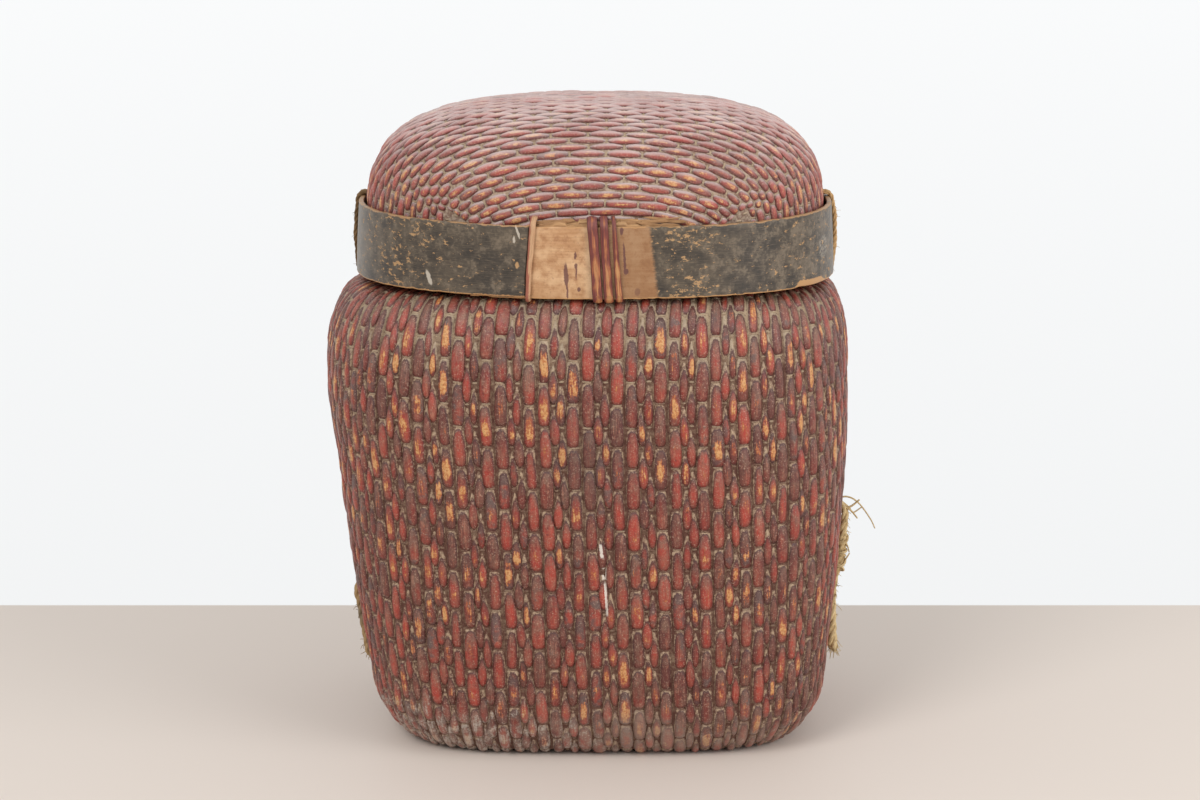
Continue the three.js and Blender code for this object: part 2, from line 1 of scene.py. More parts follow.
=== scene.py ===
# An old willow storage basket: woven body and domed lid, bentwood hoop, splints and old hemp rope.
import math
import bpy
import numpy as np
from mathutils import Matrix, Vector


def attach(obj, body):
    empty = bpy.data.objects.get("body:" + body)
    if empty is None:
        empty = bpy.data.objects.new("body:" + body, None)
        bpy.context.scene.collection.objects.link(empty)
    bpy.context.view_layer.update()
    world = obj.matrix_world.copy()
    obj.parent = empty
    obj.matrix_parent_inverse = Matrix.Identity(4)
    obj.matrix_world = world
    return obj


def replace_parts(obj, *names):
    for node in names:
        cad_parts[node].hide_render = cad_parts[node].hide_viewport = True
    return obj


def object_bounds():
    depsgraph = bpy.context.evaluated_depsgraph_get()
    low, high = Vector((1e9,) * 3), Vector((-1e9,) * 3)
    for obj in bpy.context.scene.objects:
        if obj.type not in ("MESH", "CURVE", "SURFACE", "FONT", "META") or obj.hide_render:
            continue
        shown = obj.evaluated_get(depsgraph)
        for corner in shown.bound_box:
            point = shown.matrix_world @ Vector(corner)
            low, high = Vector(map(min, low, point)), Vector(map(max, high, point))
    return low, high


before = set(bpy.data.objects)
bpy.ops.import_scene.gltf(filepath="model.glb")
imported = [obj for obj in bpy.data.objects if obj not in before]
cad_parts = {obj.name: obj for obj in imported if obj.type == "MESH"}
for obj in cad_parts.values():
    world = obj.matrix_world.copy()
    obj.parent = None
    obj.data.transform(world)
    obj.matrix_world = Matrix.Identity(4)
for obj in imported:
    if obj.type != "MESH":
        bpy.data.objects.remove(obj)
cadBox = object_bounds()

mm = 0.001  # the shapes below are worked out in millimetres
print("frame loaded:", len(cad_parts), "nodes")

# Camera, floor and light

view = {"place": (-0.0005, -1.850, 0.647), "pitchDown": 12.39, "focalPixels": 2544, "pictureWidth": 1200}
studio = {
    "floorSize": 40, "tableColour": (0.75, 0.67, 0.602, 1), "tableEnd": 266, "endBlur": 1.5,
    "wallColour": (0.81, 0.82, 0.825, 1), "skyStrength": 0.60,
    "keyPlace": (-1.3, -2.0, 2.3), "keySize": 1.5, "keyPower": 39.5,
    "fillPlace": (1.9, -1.3, 1.2), "fillSize": 1.8, "fillPower": 26,
}


def addCamera():
    data = bpy.data.cameras.new("photoCamera")
    data.sensor_fit = "HORIZONTAL"
    data.lens = data.sensor_width * view["focalPixels"] / view["pictureWidth"]
    camera = bpy.data.objects.new("photoCamera", data)
    camera.location = view["place"]
    camera.rotation_euler = (math.radians(90 - view["pitchDown"]), 0, 0)
    bpy.context.collection.objects.link(camera)
    bpy.context.scene.camera = camera


def addAreaLight(name, place, size, power):
    data = bpy.data.lights.new(name, "AREA")
    data.shape = "DISK"
    data.size = size
    data.energy = power
    light = bpy.data.objects.new(name, data)
    light.location = place
    middle = sum((np.array(corner) for corner in cadBox), np.zeros(3)) / 2
    aim = np.array(place) - middle
    light.rotation_euler = (
        math.atan2(math.hypot(aim[0], aim[1]), aim[2]), 0, math.atan2(aim[1], aim[0]) + math.pi / 2)
    bpy.context.collection.objects.link(light)


# Finishes: a small language for shader maths

class Wire:
    # the output of a node, which can be added, multiplied and compared like a number
    def __init__(self, tree, socket):
        self.tree = tree
        self.socket = socket

    def maths(self, operation, *values):
        return addNode(self.tree, "ShaderNodeMath", {"operation": operation}, values or [self])

    def __add__(self, other):
        return self.maths("ADD", self, other)

    def __sub__(self, other):
        return self.maths("SUBTRACT", self, other)

    def __rsub__(self, other):
        return self.maths("SUBTRACT", other, self)

    def __mul__(self, other):
        return self.maths("MULTIPLY", self, other)

    def __truediv__(self, other):
        return self.maths("DIVIDE", self, other)

    __radd__ = __add__
    __rmul__ = __mul__

    def larger(self, other):
        return self.maths("MAXIMUM", self, other)

    def smaller(self, other):
        return self.maths("MINIMUM", self, other)

    def scatter(self, number):
        # another chance value, made from one that is steady over a bead
        return (self * number).maths("FRACT")

    def fade(self, low, high):
        # 0 below low, 1 above high, smooth between; low may be the larger
        values = {"Value": self, "From Min": low, "From Max": high}
        return addNode(self.tree, "ShaderNodeMapRange", {"interpolation_type": "SMOOTHSTEP"}, values)

    def near(self, middle, reach):
        # 1 at middle, 0 further than reach from it
        return (self - middle).maths("ABSOLUTE").fade(reach, 0)


def addNode(tree, kind, settings, values, output=0):
    node = tree.nodes.new(kind)
    for name, value in settings.items():
        setattr(node, name, value)
    pairs = values.items() if isinstance(values, dict) else enumerate(values)
    for key, value in pairs:
        if isinstance(value, Wire):
            tree.links.new(value.socket, node.inputs[key])
        else:
            node.inputs[key].default_value = value
    return Wire(tree, node.outputs[output])


def rgb(red, green, blue):
    # a colour as seen on screen, made linear
    return tuple(((c / 255 + 0.055) / 1.055) ** 2.4 for c in (red, green, blue)) + (1,)


class Finish:
    # one material while it is being put together
    def __init__(self, name):
        self.material = bpy.data.materials.new(name)
        self.material.use_nodes = True
        self.tree = self.material.node_tree
        self.shader = self.tree.nodes["Principled BSDF"]

    def node(self, kind, settings, values, output=0):
        return addNode(self.tree, kind, settings, values, output)

    def attribute(self, name, output=2):
        return self.node("ShaderNodeAttribute", {"attribute_name": name}, {}, output)

    def place(self):
        # where the point is on the resting basket, in metres
        return self.node("ShaderNodeTexCoord", {}, {}, 3)

    def axes(self, vector):
        split = self.node("ShaderNodeSeparateXYZ", {}, [vector])
        outputs = split.socket.node.outputs
        return [Wire(self.tree, outputs[i]) for i in range(3)]

    def millimetres(self):
        return [axis / mm for axis in self.axes(self.place())]

    def stretch(self, vector, factors):
        return self.node("ShaderNodeVectorMath", {"operation": "MULTIPLY"}, [vector, factors])

    def noise(self, vector, size, detail=2.0, roughness=0.5):
        values = {"Vector": vector, "Scale": 1 / size, "Detail": detail, "Roughness": roughness}
        return self.node("ShaderNodeTexNoise", {}, values)

    def spots(self, size, detail=2.0, roughness=0.5):
        return self.noise(self.place(), size, detail, roughness)

    def fibres(self, along, across, detail=2.0, roughness=0.5):
        # streaks that run with the grain
        stretched = self.stretch(self.attribute("grain", 1), (along, across, 1))
        return self.noise(stretched, 1.0, detail, roughness)

    def mix(self, factor, first, second):
        return self.node("ShaderNodeMix", {"data_type": "RGBA"}, {0: factor, 6: first, 7: second}, 2)

    def between(self, factor, first, second):
        return self.mix(factor, rgb(*first), rgb(*second))

    def over(self, colour, factor, *tone):
        # the colour with some of another laid over it
        return self.mix(factor, colour, rgb(*tone))

    def bump(self, height, distance, strength=1.0):
        values = {"Height": height, "Distance": distance, "Strength": strength}
        return self.node("ShaderNodeBump", {}, values)

    def done(self, colour, roughness, normal=None, **steady):
        links = {"Base Color": colour, "Roughness": roughness, "Normal": normal}
        for name, value in {**links, **steady}.items():
            if isinstance(value, Wire):
                self.tree.links.new(value.socket, self.shader.inputs[name])
            elif value is not None:
                self.shader.inputs[name].default_value = value
        return self.material


def directView(tree):
    # 1 for what the camera sees, also in a reflection or through glass
    seen = addNode(tree, "ShaderNodeLightPath", {}, {})
    outputs = seen.socket.node.outputs
    for name in ("Is Glossy Ray", "Is Transmission Ray"):
        seen = seen.larger(Wire(tree, outputs[name]))
    return seen


def addFloor():
    half = studio["floorSize"] / 2
    mesh = bpy.data.meshes.new("floor")
    corners = [(-half, -half, 0), (half, -half, 0), (half, half, 0), (-half, half, 0)]
    mesh.from_pydata(corners, [], [(0, 1, 2, 3)])
    floor = bpy.data.objects.new("floor", mesh)
    bpy.context.collection.objects.link(floor)
    plain = Finish("tableAndWall")
    blur = studio["endBlur"]
    behind = (plain.millimetres()[1] - studio["tableEnd"]).fade(-blur, blur) * directView(plain.tree)
    black = (0, 0, 0, 1)
    table = plain.mix(behind, studio["tableColour"], black)
    wall = plain.mix(behind, black, studio["wallColour"])
    mesh.materials.append(plain.done(table, 0.6, **{"Emission Color": wall, "Emission Strength": 1.0}))


def lightWorld():
    world = bpy.data.worlds.new("studio")
    bpy.context.scene.world = world
    world.use_nodes = True
    tree = world.node_tree
    background = tree.nodes["Background"]
    background.inputs["Color"].default_value = (1, 1, 1, 1)
    strength = directView(tree) * (1 - studio["skyStrength"]) + studio["skyStrength"]
    tree.links.new(strength.socket, background.inputs["Strength"])


# Shape of the basket, the same as in the frame, in millimetres

shape = {
    "depthShort": 40, "basePower": 3.9, "mouthPower": 2.35, "bellyShift": -8, "mouthShift": -2.4,
    "baseHalfWidth": 141, "footHeight": 40, "footHalfWidth": 168.5, "footPower": 1.37,
    "bellyHeight": 262, "bellyHalfWidth": 190, "wallBend": 197, "ledgeHeight": 338.2,
    "shoulderPower": 3.2, "neckHalfWidth": 148, "rimTop": 382.2,
    "lidBottom": 341.5, "lidHalfWidth": 168.5, "domeStraight": 27, "domeRise": 125.5, "domePower": 3.3,
    "hoopInside": 172.4, "hoopFace": 175.9, "hoopHeight": 49.5, "hoopRise": 2, "hoopRisePower": 3,
}


def planRing(level, angles):
    # a level is half width, half depth, how square it is, and the x of its middle
    halfWidth, halfDepth, power, middle = (np.asarray(part, float)[..., None] for part in level)
    across, back = np.cos(angles), np.sin(angles)
    reach = (np.abs(across / halfWidth) ** power + np.abs(back / halfDepth) ** power) ** (-1 / power)
    return np.stack([middle + reach * across, reach * back], axis=-1)


def lidLevel(halfWidth):
    # a level of the lid, its hoops and the rim
    power, middle = 0 * halfWidth + shape["mouthPower"], 0 * halfWidth + shape["mouthShift"]
    return halfWidth, halfWidth - shape["depthShort"], power, middle


def planPower(z):
    # how square the body is at a height
    share = np.minimum(z / shape["ledgeHeight"], 1)
    return shape["basePower"] + (shape["mouthPower"] - shape["basePower"]) * share


def rounding(start, end, power, steps=60):
    turn = np.linspace(0, math.pi / 2, steps + 1)
    out = np.sin(turn) ** (2 / power)
    up = 1 - np.cos(turn) ** (2 / power)
    return np.stack([start[0] + (end[0] - start[0]) * out, start[1] + (end[1] - start[1]) * up], axis=1)


def walk(points):
    # length along a line of points, up to each of them
    steps = np.linalg.norm(np.diff(points, axis=0), axis=1)
    return np.concatenate([[0], np.cumsum(steps)])


def placesOn(points, walked, places):
    # where the line is at some lengths along it
    return np.stack([np.interp(places, walked, axis) for axis in np.transpose(points)], axis=1)


def wholeTurn(count):
    return np.linspace(-math.pi, math.pi, count, endpoint=False)


bodyWeave = {
    "groups": 38,  # round the belly, each of two wide rods and two narrow ones
    "places": (0.0, 0.344, 0.574, 0.738),  # of the four rods in their group
    "phase": -0.37,  # of the first group, so that the front matches
    "step": 2.0, "underBase": 128, "softening": 5,
    "firstCord": 5.9, "cordSpacing": 15.1, "cords": 29, "cordRadius": 0.75,
    "fuller": 0.017, "fullerAt": 285, "fullerReach": 70,  # at the left
    "raised": 5.0, "raisedAt": 168, "raisedReach": 24,  # the shoulder at the front, close under the hoop
    "squeeze": 1.6,  # how soon the rods begin to crowd, away from the middle of front and back
    "wide": {"halfAcross": 4.95, "halfThick": 3.2, "crown": 0.0, "dip": 2.4, "sharpness": 10, "taper": 0.18,
             "wearPower": 4, "bulge": 0.12},
    "narrow": {"halfAcross": 3.8, "halfThick": 2.9, "crown": 0.3, "dip": 2.8, "sharpness": 4, "taper": 0.58,
               "wearPower": 3, "bulge": 0.36},
    "fillDepth": 2.7, "fillInside": 6.0, "fillRows": 110, "slowWander": 1.1, "quickWander": 0.5,
    "sections": {"front": -19, "right": 19, "back": 57, "left": 95},  # the first rod of each
}


def bodyProfile():
    # half widths and heights of the outer face, from under the base to the rim
    foot = (shape["footHalfWidth"], shape["footHeight"])
    belly = (shape["bellyHalfWidth"], shape["bellyHeight"])
    lower = rounding((shape["baseHalfWidth"], 0), foot, shape["footPower"])
    part = np.linspace(0, 1, 60)[1:, None]
    bend = np.array([shape["bellyHalfWidth"], shape["wallBend"]])
    wall = (1 - part) ** 2 * foot + 2 * part * (1 - part) * bend + part ** 2 * np.array(belly)
    ledge = (shape["neckHalfWidth"], shape["ledgeHeight"])
    shoulder = rounding(ledge, belly, shape["shoulderPower"])[::-1][1:]
    under = [(bodyWeave["underBase"], 0)]
    return np.concatenate([under, lower, wall, shoulder, [(shape["neckHalfWidth"], shape["rimTop"])]])


def rodPlaces():
    # where each rod of the body stands, as a share of the way round the belly from the front
    groups = np.arange(bodyWeave["groups"])[:, None] + np.array(bodyWeave["places"])[None, :]
    return (groups.ravel() + bodyWeave["phase"]) / bodyWeave["groups"]


def bodyGrid():
    profile = bodyProfile()
    walked = walk(profile)
    rows = np.arange(0, walked[-1], bodyWeave["step"])
    line = placesOn(profile, walked, rows)
    reach = bodyWeave["softening"] // 2
    padded = np.concatenate([np.repeat(line[:1], reach, 0), line, np.repeat(line[-1:], reach, 0)])
    kernel = np.ones(bodyWeave["softening"]) / bodyWeave["softening"]
    soft = np.stack([np.convolve(padded[:, i], kernel, "valid") for i in (0, 1)], axis=1)
    line[reach:-reach] = soft[reach:-reach]
    halfWidth, z = line.T
    drawnIn = (shape["bellyHalfWidth"] - halfWidth) / (shape["bellyHalfWidth"] - shape["neckHalfWidth"])
    above = shape["bellyShift"] + (shape["mouthShift"] - shape["bellyShift"]) * drawnIn
    middle = np.where(z < shape["bellyHeight"], shape["bellyShift"] * z / shape["bellyHeight"], above)
    angles = np.linspace(-math.pi / 2, 1.5 * math.pi, 1441)
    rings = planRing((halfWidth, halfWidth - shape["depthShort"], planPower(z), middle), angles)
    lengths = np.linalg.norm(np.diff(rings, axis=1), axis=2)
    walks = np.concatenate([np.zeros((len(rows), 1)), np.cumsum(lengths, axis=1)], axis=1)
    total = walks[:, -1]
    belly = total.max()
    # the rods keep their distance on front and back, and crowd together round the sides
    fine = np.linspace(0, 1, 2001)
    crowd = np.minimum(1, bodyWeave["squeeze"] * np.sin(2 * math.pi * fine) ** 2)
    crowded = np.concatenate([[0], np.cumsum((crowd[1:] + crowd[:-1]) / 2 * np.diff(fine))])
    tight = (1 - total / belly) / crowded[-1]
    rods = rodPlaces()
    nextRods = np.append(rods[1:], rods[0] + 1)
    share = (rods[:, None] + (nextRods - rods)[:, None] * np.arange(4)[None, :] / 4).ravel() % 1
    stand = belly * (share[None, :] - tight[:, None] * np.interp(share, fine, crowded)[None, :])
    points = np.empty((len(rows), len(share), 3))
    for i in range(len(rows)):
        for axis in (0, 1):
            points[i, :, axis] = np.interp(stand[i], walks[i], rings[i, :, axis])
        points[i, :, 2] = z[i]
        away = (z[i] - bodyWeave["fullerAt"]) / bodyWeave["fullerReach"]
        full = bodyWeave["fuller"] * max(0, 1 - away ** 2)
        points[i, :, 0] *= np.where(points[i, :, 0] < 0, 1 + full, 1)
        if z[i] > shape["bellyHeight"]:
            away = (halfWidth[i] - bodyWeave["raisedAt"]) / bodyWeave["raisedReach"]
            frontward = np.clip(-points[i, :, 1] / (halfWidth[i] - shape["depthShort"]), 0, 1)
            points[i, :, 2] += bodyWeave["raised"] * max(0, 1 - away ** 2) * frontward ** 3
    across = np.roll(points, -1, axis=1) - np.roll(points, 1, axis=1)
    room = 1 - tight[:, None] * np.interp(share, fine, crowd)[None, :]
    return finishGrid(points, across, bodyWeave["step"], room, np.ones(points.shape[:2], bool))


def unit(vectors):
    return vectors / np.maximum(np.linalg.norm(vectors, axis=-1, keepdims=True), 1e-9)


def finishGrid(points, across, step, room, valid):
    # rows run along the rods, columns are quarters of the distance between neighbouring rods
    along = unit(np.gradient(points, axis=0))
    across = unit(across)
    out = unit(np.cross(across, along))
    return {"points": points, "along": along, "across": unit(np.cross(along, out)), "out": out,
            "step": step, "room": room, "valid": valid}


def lookUp(grid, name, row, column):
    # value on the grid at fractional rows, for whole columns
    last = len(grid[name]) - 1
    place = np.clip(np.asarray(row) / grid["step"], 0, last - 1e-6)
    low = place.astype(int)
    part = place - low
    if grid[name].ndim == 3:
        part = part[..., None]
    return grid[name][low, column] * (1 - part) + grid[name][low + 1, column] * part


# Woven cloth of rods and twine

def endCaps(count, sides):
    # the two ends of a tube, as four-sided faces
    fan = np.array([(0, m, m + 1, m + 2) for m in range(1, sides - 2, 2)])
    return np.concatenate([fan[:, ::-1], fan + (count - 1) * sides])


class Work:
    # collects tubes and sheets for one mesh, all of four-sided faces
    def __init__(self):
        self.points = []
        self.faces = []
        self.uvs = []
        self.kinds = []
        self.values = {"crown": [], "depth": [], "luck": [], "inside": [], "rise": []}
        self.grain = []
        self.count = 0

    def add(self, points, faces, uvs, kind, values, grain):
        self.faces.append(faces + self.count)
        self.points.append(points.reshape(-1, 3))
        self.uvs.append(uvs.reshape(-1, 2))
        self.kinds.append(np.full(len(faces), kind))
        for name, held in self.values.items():
            held.append(np.broadcast_to(values[name], points.shape[:-1]).ravel())
        self.grain.append(grain.reshape(-1, 3))
        self.count += points.size // 3

    def addPlain(self, rings, uvBox, kind=0, grain=None, **values):
        # a tube with steady values, its grain running along it
        along = walk(rings.mean(axis=1))[:, None]
        around = np.linspace(0, 1, rings.shape[1], endpoint=False)[None, :]
        if grain is None:
            grain = np.stack(np.broadcast_arrays(along, around * 10, 0.0), -1)
        held = {name: values.get(name, 0.0) for name in self.values}
        self.addTube(rings, uvBox, kind, held, grain)

    def addTube(self, rings, uvBox, kind, values, grain):
        count, sides = rings.shape[:2]
        i, j = np.meshgrid(np.arange(count - 1), np.arange(sides), indexing="ij")
        k = (j + 1) % sides
        faces = np.stack([i * sides + j, i * sides + k, (i + 1) * sides + k, (i + 1) * sides + j], -1)
        left, right, low, high = uvBox
        u = left + (right - left) * np.stack([j, j + 1, j + 1, j], -1) / sides
        v = low + (high - low) * np.stack([i, i, i + 1, i + 1], -1) / (count - 1)
        caps = endCaps(count, sides)
        capU = left + (right - left) * (caps % sides) / sides
        capV = np.where(caps < sides, low, high)
        faces = np.concatenate([faces.reshape(-1, 4), caps])
        uvs = np.concatenate([np.stack([u, v], -1).reshape(-1, 4, 2), np.stack([capU, capV], -1)])
        self.add(rings, faces, uvs, kind, values, grain)

    def build(self, name, materials, body):
        mesh = bpy.data.meshes.new(name)
        points = np.concatenate(self.points) * mm
        faces = np.concatenate(self.faces)
        mesh.from_pydata(points, [], faces)
        for key, held in self.values.items():
            data = mesh.attributes.new(key, "FLOAT", "POINT").data
            data.foreach_set("value", np.concatenate(held).astype(np.float32))
        data = mesh.attributes.new("grain", "FLOAT_VECTOR", "POINT").data
        data.foreach_set("vector", np.concatenate(self.grain).astype(np.float32).ravel())
        layer = mesh.uv_layers.new(name="OFBake")
        layer.data.foreach_set("uv", np.concatenate(self.uvs).astype(np.float32).ravel())
        for material in materials:
            mesh.materials.append(material)
        mesh.polygons.foreach_set("material_index", np.concatenate(self.kinds).astype(np.int32))
        mesh.polygons.foreach_set("use_smooth", np.ones(len(faces), bool))
        mesh.update()
        piece = bpy.data.objects.new(name, mesh)
        bpy.context.collection.objects.link(piece)
        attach(piece, body)
        print(name, len(faces) * 2, "triangles")
        return piece


rod = {
    "fatter": 0.22, "proud": 1.1, "pinch": (0.6, 1.5), "lean": 0.12, "leanReach": 3,  # how beads differ
    "sway": ((0.35, 23, 1.7), (0.2, 9, 2.9)),  # how far, how slowly and how differently for each rod
    "endGap": 0.4, "grainApart": 7.3,
}
rodSides = np.radians([-90, -54, -18, 18, 54, 90, 150, 210])
beadPlaces = np.array([-1, -0.965, -0.9, -0.76, -0.4, 0, 0.4, 0.76, 0.9, 0.965])


def ringsOn(grid, rows, columns, way, aside, sink):
    # rings that lie aside from places on the grid and below its face
    points, beside, out = (lookUp(grid, name, rows, columns)[:, None, :] for name in ("points", way, "out"))
    return points + beside * aside[..., None] - out * sink[..., None]


def beadStations(seams, low, high):
    # rows at which a rod gets a ring, closest together where the twine crosses it
    middles = (seams[1:] + seams[:-1]) / 2
    halves = (seams[1:] - seams[:-1]) / 2
    rows = (middles[:, None] + halves[:, None] * beadPlaces[None, :]).ravel()
    rows = rows[(rows > low + rod["endGap"]) & (rows < high - rod["endGap"])]
    rows = np.concatenate([[low], rows, [high]])
    bead = np.clip(np.searchsorted(seams, rows, "right") - 1, 0, len(middles) - 1)
    return rows, bead, (rows - middles[bead]) / halves[bead]


def addRod(weave, grid, column, seams, low, high, look, chance, uvBox, number, upSide=0):
    # upSide tells which side of a level rod faces up; an upright rod has 0
    rows, bead, t = beadStations(seams, low, high)
    bend = np.clip(np.abs(t + look["bulge"] * (1 - t ** 2)), 0, 1)
    luck = chance.random(len(seams))
    fat = 1 + rod["fatter"] * (chance.random(len(seams)) - 0.5)
    proud = rod["proud"] * (chance.random(len(seams)) - 0.5)
    pinch = look["taper"] * chance.uniform(*rod["pinch"], len(seams))
    lean = rod["lean"] * chance.normal(size=len(seams))
    room = lookUp(grid, "room", rows, column)
    drawn = 0.5 * bend ** 2 + 0.5 * bend ** look["sharpness"]
    halfAcross = look["halfAcross"] * room * fat[bead] * (1 - pinch[bead] * drawn)
    dip = 0.3 * bend ** 2 + 0.7 * bend ** look["sharpness"]
    top = look["crown"] + look["dip"] * dip + proud[bead] * (1 - bend ** 2)
    middle = top + look["halfThick"]
    sway = sum(far * np.sin(rows / slow + number * apart) for far, slow, apart in rod["sway"])
    sway = sway + lean[bead] * t * (1 - bend ** 2) * rod["leanReach"]
    sine, cosine = np.sin(rodSides), np.cos(rodSides)
    sideways = sway[:, None] + halfAcross[:, None] * sine[None, :]
    sink = middle[:, None] - look["halfThick"] * cosine[None, :]
    rings = ringsOn(grid, rows, column, "across", sideways, sink)
    crown = np.maximum(cosine, 0)[None, :] * (1 - bend[:, None] ** look["wearPower"])
    rise = upSide * sine[None, :] if upSide else t[:, None]
    inside = (cosine < 0)[None, :] * 1.0
    values = {"crown": crown, "depth": sink, "luck": luck[bead][:, None], "inside": inside, "rise": rise}
    grain = np.stack(np.broadcast_arrays(rows[:, None], sideways, number * rod["grainApart"]), -1)
    weave.addTube(rings, uvBox, 0, values, grain)


twine = {"sides": 6, "lift": 0.5, "shortest": 8, "insideBelow": 4.4, "grainApart": 5.1, "luckApart": 0.37}


def addCord(weave, grid, columns, rows, depths, radius, uvBox, number):
    turn = np.linspace(0, 2 * math.pi, twine["sides"], endpoint=False)
    sideways = -radius * np.sin(turn)
    sink = depths[:, None] - radius * np.cos(turn)[None, :]
    rings = ringsOn(grid, rows, columns, "along", sideways[None, :], sink)
    walked = walk(rings.mean(axis=1))
    around = turn[None, :] / math.pi * 2
    grain = np.stack(np.broadcast_arrays(walked[:, None], around, number * twine["grainApart"]), -1)
    luck = (number * twine["luckApart"]) % 1
    inside = (depths[:, None] > twine["insideBelow"]) * 1.0
    values = {"crown": 0.0, "depth": sink, "luck": luck, "inside": inside, "rise": 0.0}
    weave.addTube(rings, uvBox, 1, values, grain)


def addFill(weave, grid, rows, columns, look, chance):
    # dust and old lacquer packed between the rods: a sheet with an outer and an inner face
    r, c = np.meshgrid(rows, columns, indexing="ij")
    whole = grid["points"].shape[1]
    wrapped = c % whole
    base = lookUp(grid, "points", r, wrapped)
    out = lookUp(grid, "out", r, wrapped)
    rough = 0.5 * (chance.random(r.shape) - 0.5)
    faceDepths = np.stack([look["fillDepth"] + rough, look["fillInside"] + 0 * rough])
    points = base[None] - out[None] * faceDepths[..., None]
    keep = grid["valid"][np.clip((r / grid["step"]).astype(int), 0, len(grid["valid"]) - 1), wrapped]
    i, j = np.meshgrid(np.arange(len(rows) - 1), np.arange(len(columns) - 1), indexing="ij")
    good = keep[:-1, :-1] & keep[1:, :-1] & keep[:-1, 1:] & keep[1:, 1:]
    i, j = i[good], j[good]
    wide = len(columns)
    front = np.stack([i * wide + j, i * wide + j + 1, (i + 1) * wide + j + 1, (i + 1) * wide + j], -1)
    layer = len(rows) * wide
    back = front[:, ::-1] + layer
    edges = np.concatenate([front[:, [k, (k + 1) % 4]] for k in range(4)])
    seen = set(map(tuple, edges.tolist()))
    border = np.array([(b, a, a + layer, b + layer) for a, b in edges.tolist() if (b, a) not in seen])
    faces = np.concatenate([front, back, border])
    used, faces = np.unique(faces, return_inverse=True)
    faces = faces.reshape(-1, 4)
    left, right, low, high = fillBox
    spot = used % layer
    u = left + (right - left) * (spot // wide) / len(rows)
    v = low + (high - low) * (spot % wide + (used // layer) * wide) / (2 * wide)
    uvs = np.stack([u, v], -1)[faces]
    grain = np.stack([r, c, 0 * r], -1)
    grain = np.stack([grain, grain]).reshape(-1, 3)[used][None]
    depths = faceDepths.reshape(-1)[used][None]
    inside = (used >= layer)[None] * 1.0
    values = {"crown": 0.0, "depth": depths, "luck": 0.5, "inside": inside, "rise": 0.0}
    weave.add(points.reshape(-1, 3)[used][None], faces, uvs, 2, values, grain)


def smoothChance(chance, shapeOf, passes=3):
    # random numbers between -1 and 1 that change slowly along the last axis
    values = chance.random(shapeOf) * 2 - 1
    for _ in range(passes):
        values = (values + np.roll(values, 1, -1) + np.roll(values, -1, -1)) / 3
    return values * 1.7


def seamRows(chance, cords, rods, start, look):
    # the row of each twine at each rod
    size = (len(cords), rods)
    wander = look["slowWander"] * smoothChance(chance, size)
    wander = wander + look["quickWander"] * (chance.random(size) * 2 - 1)
    return start + look["cordSpacing"] * cords[:, None] + wander


fillBox = (0.0, 1.0, 0.92, 1.0)  # where each kind lies in the texture


def rodBox(i, count):
    return i / count, (i + 0.9) / count, 0.0, 0.8


def cordBox(i, count):
    low = 0.81 + 0.1 * i / count
    return low, low + 0.09 / count, 0.0, 1.0


def weaveBody(materials):
    chance = np.random.default_rng(11)
    grid = bodyGrid()
    rods = bodyWeave["groups"] * 4
    top = (len(grid["points"]) - 1) * grid["step"]
    cords = np.arange(-2, bodyWeave["cords"] + 3)
    heights = seamRows(chance, cords, rods, bodyWeave["firstCord"], bodyWeave)
    looks = [bodyWeave["wide"], bodyWeave["wide"], bodyWeave["narrow"], bodyWeave["narrow"]]
    quarter = rods // 4
    for name, first in bodyWeave["sections"].items():
        weave = Work()
        for i in range(quarter):
            j = (first + i) % rods
            seams = heights[(cords + j) % 2 == 1, j]
            box = rodBox(i, quarter + 1)
            addRod(weave, grid, 4 * j, seams, 0.5, top - 0.5, looks[j % 4], chance, box, j)
        columns = np.arange(4 * first - 2, 4 * (first + quarter) - 1)
        crossed = np.arange(first - 1, first + quarter + 2)
        for k, cord in enumerate(cords):
            row = np.interp(columns / 4, crossed, heights[k, crossed % rods])
            if row.min() < 1 or row.max() > top - 1:
                continue
            depths = cordDepths(columns, cord, lambda j: looks[j % 4])
            box = cordBox(k, len(cords))
            addCord(weave, grid, columns % (4 * rods), row, depths, bodyWeave["cordRadius"], box, cord)
        rows = np.linspace(0.6, top - 0.6, bodyWeave["fillRows"])
        addFill(weave, grid, rows, columns[::2], bodyWeave, chance)
        piece = weave.build("body_weave_" + name, materials, "basket")
        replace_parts(piece, "body_weave")


lidWeave = {
    "rodsEachWay": 36,  # from the middle arch to the lower edge, front and back
    "pitch": 6.6, "pitchShrink": 0.0125,  # rods lie this far apart on top, and closer towards the edge
    "step": 1.55, "march": 0.5, "cordSpacing": 12.9, "cordRadius": 0.8, "edge": 1.0,
    "rod": {"halfAcross": 3.4, "halfThick": 2.6, "crown": 0.0, "dip": 2.3, "sharpness": 5, "taper": 0.48,
            "wearPower": 2.6, "bulge": 0.0},
    "fillDepth": 2.2, "fillInside": 4.6, "fillColumns": 280, "fillStep": 3.5,
    "flatter": 0.017,  # at the right
    "closest": 0.12,  # where rods that run together end, as a share of their distance
    "squareBelow": (402, 418),  # heights between which the beads go from square to spindle-shaped
    "squareTaper": 0.75, "squareSharpness": 8, "shortestRod": 6, "slowWander": 0.7, "quickWander": 0.45,
}


def domeHeights():
    # where the dome begins to curve, and how far it rises from there
    return shape["lidBottom"] + shape["domeStraight"], shape["domeRise"] - shape["domeStraight"]


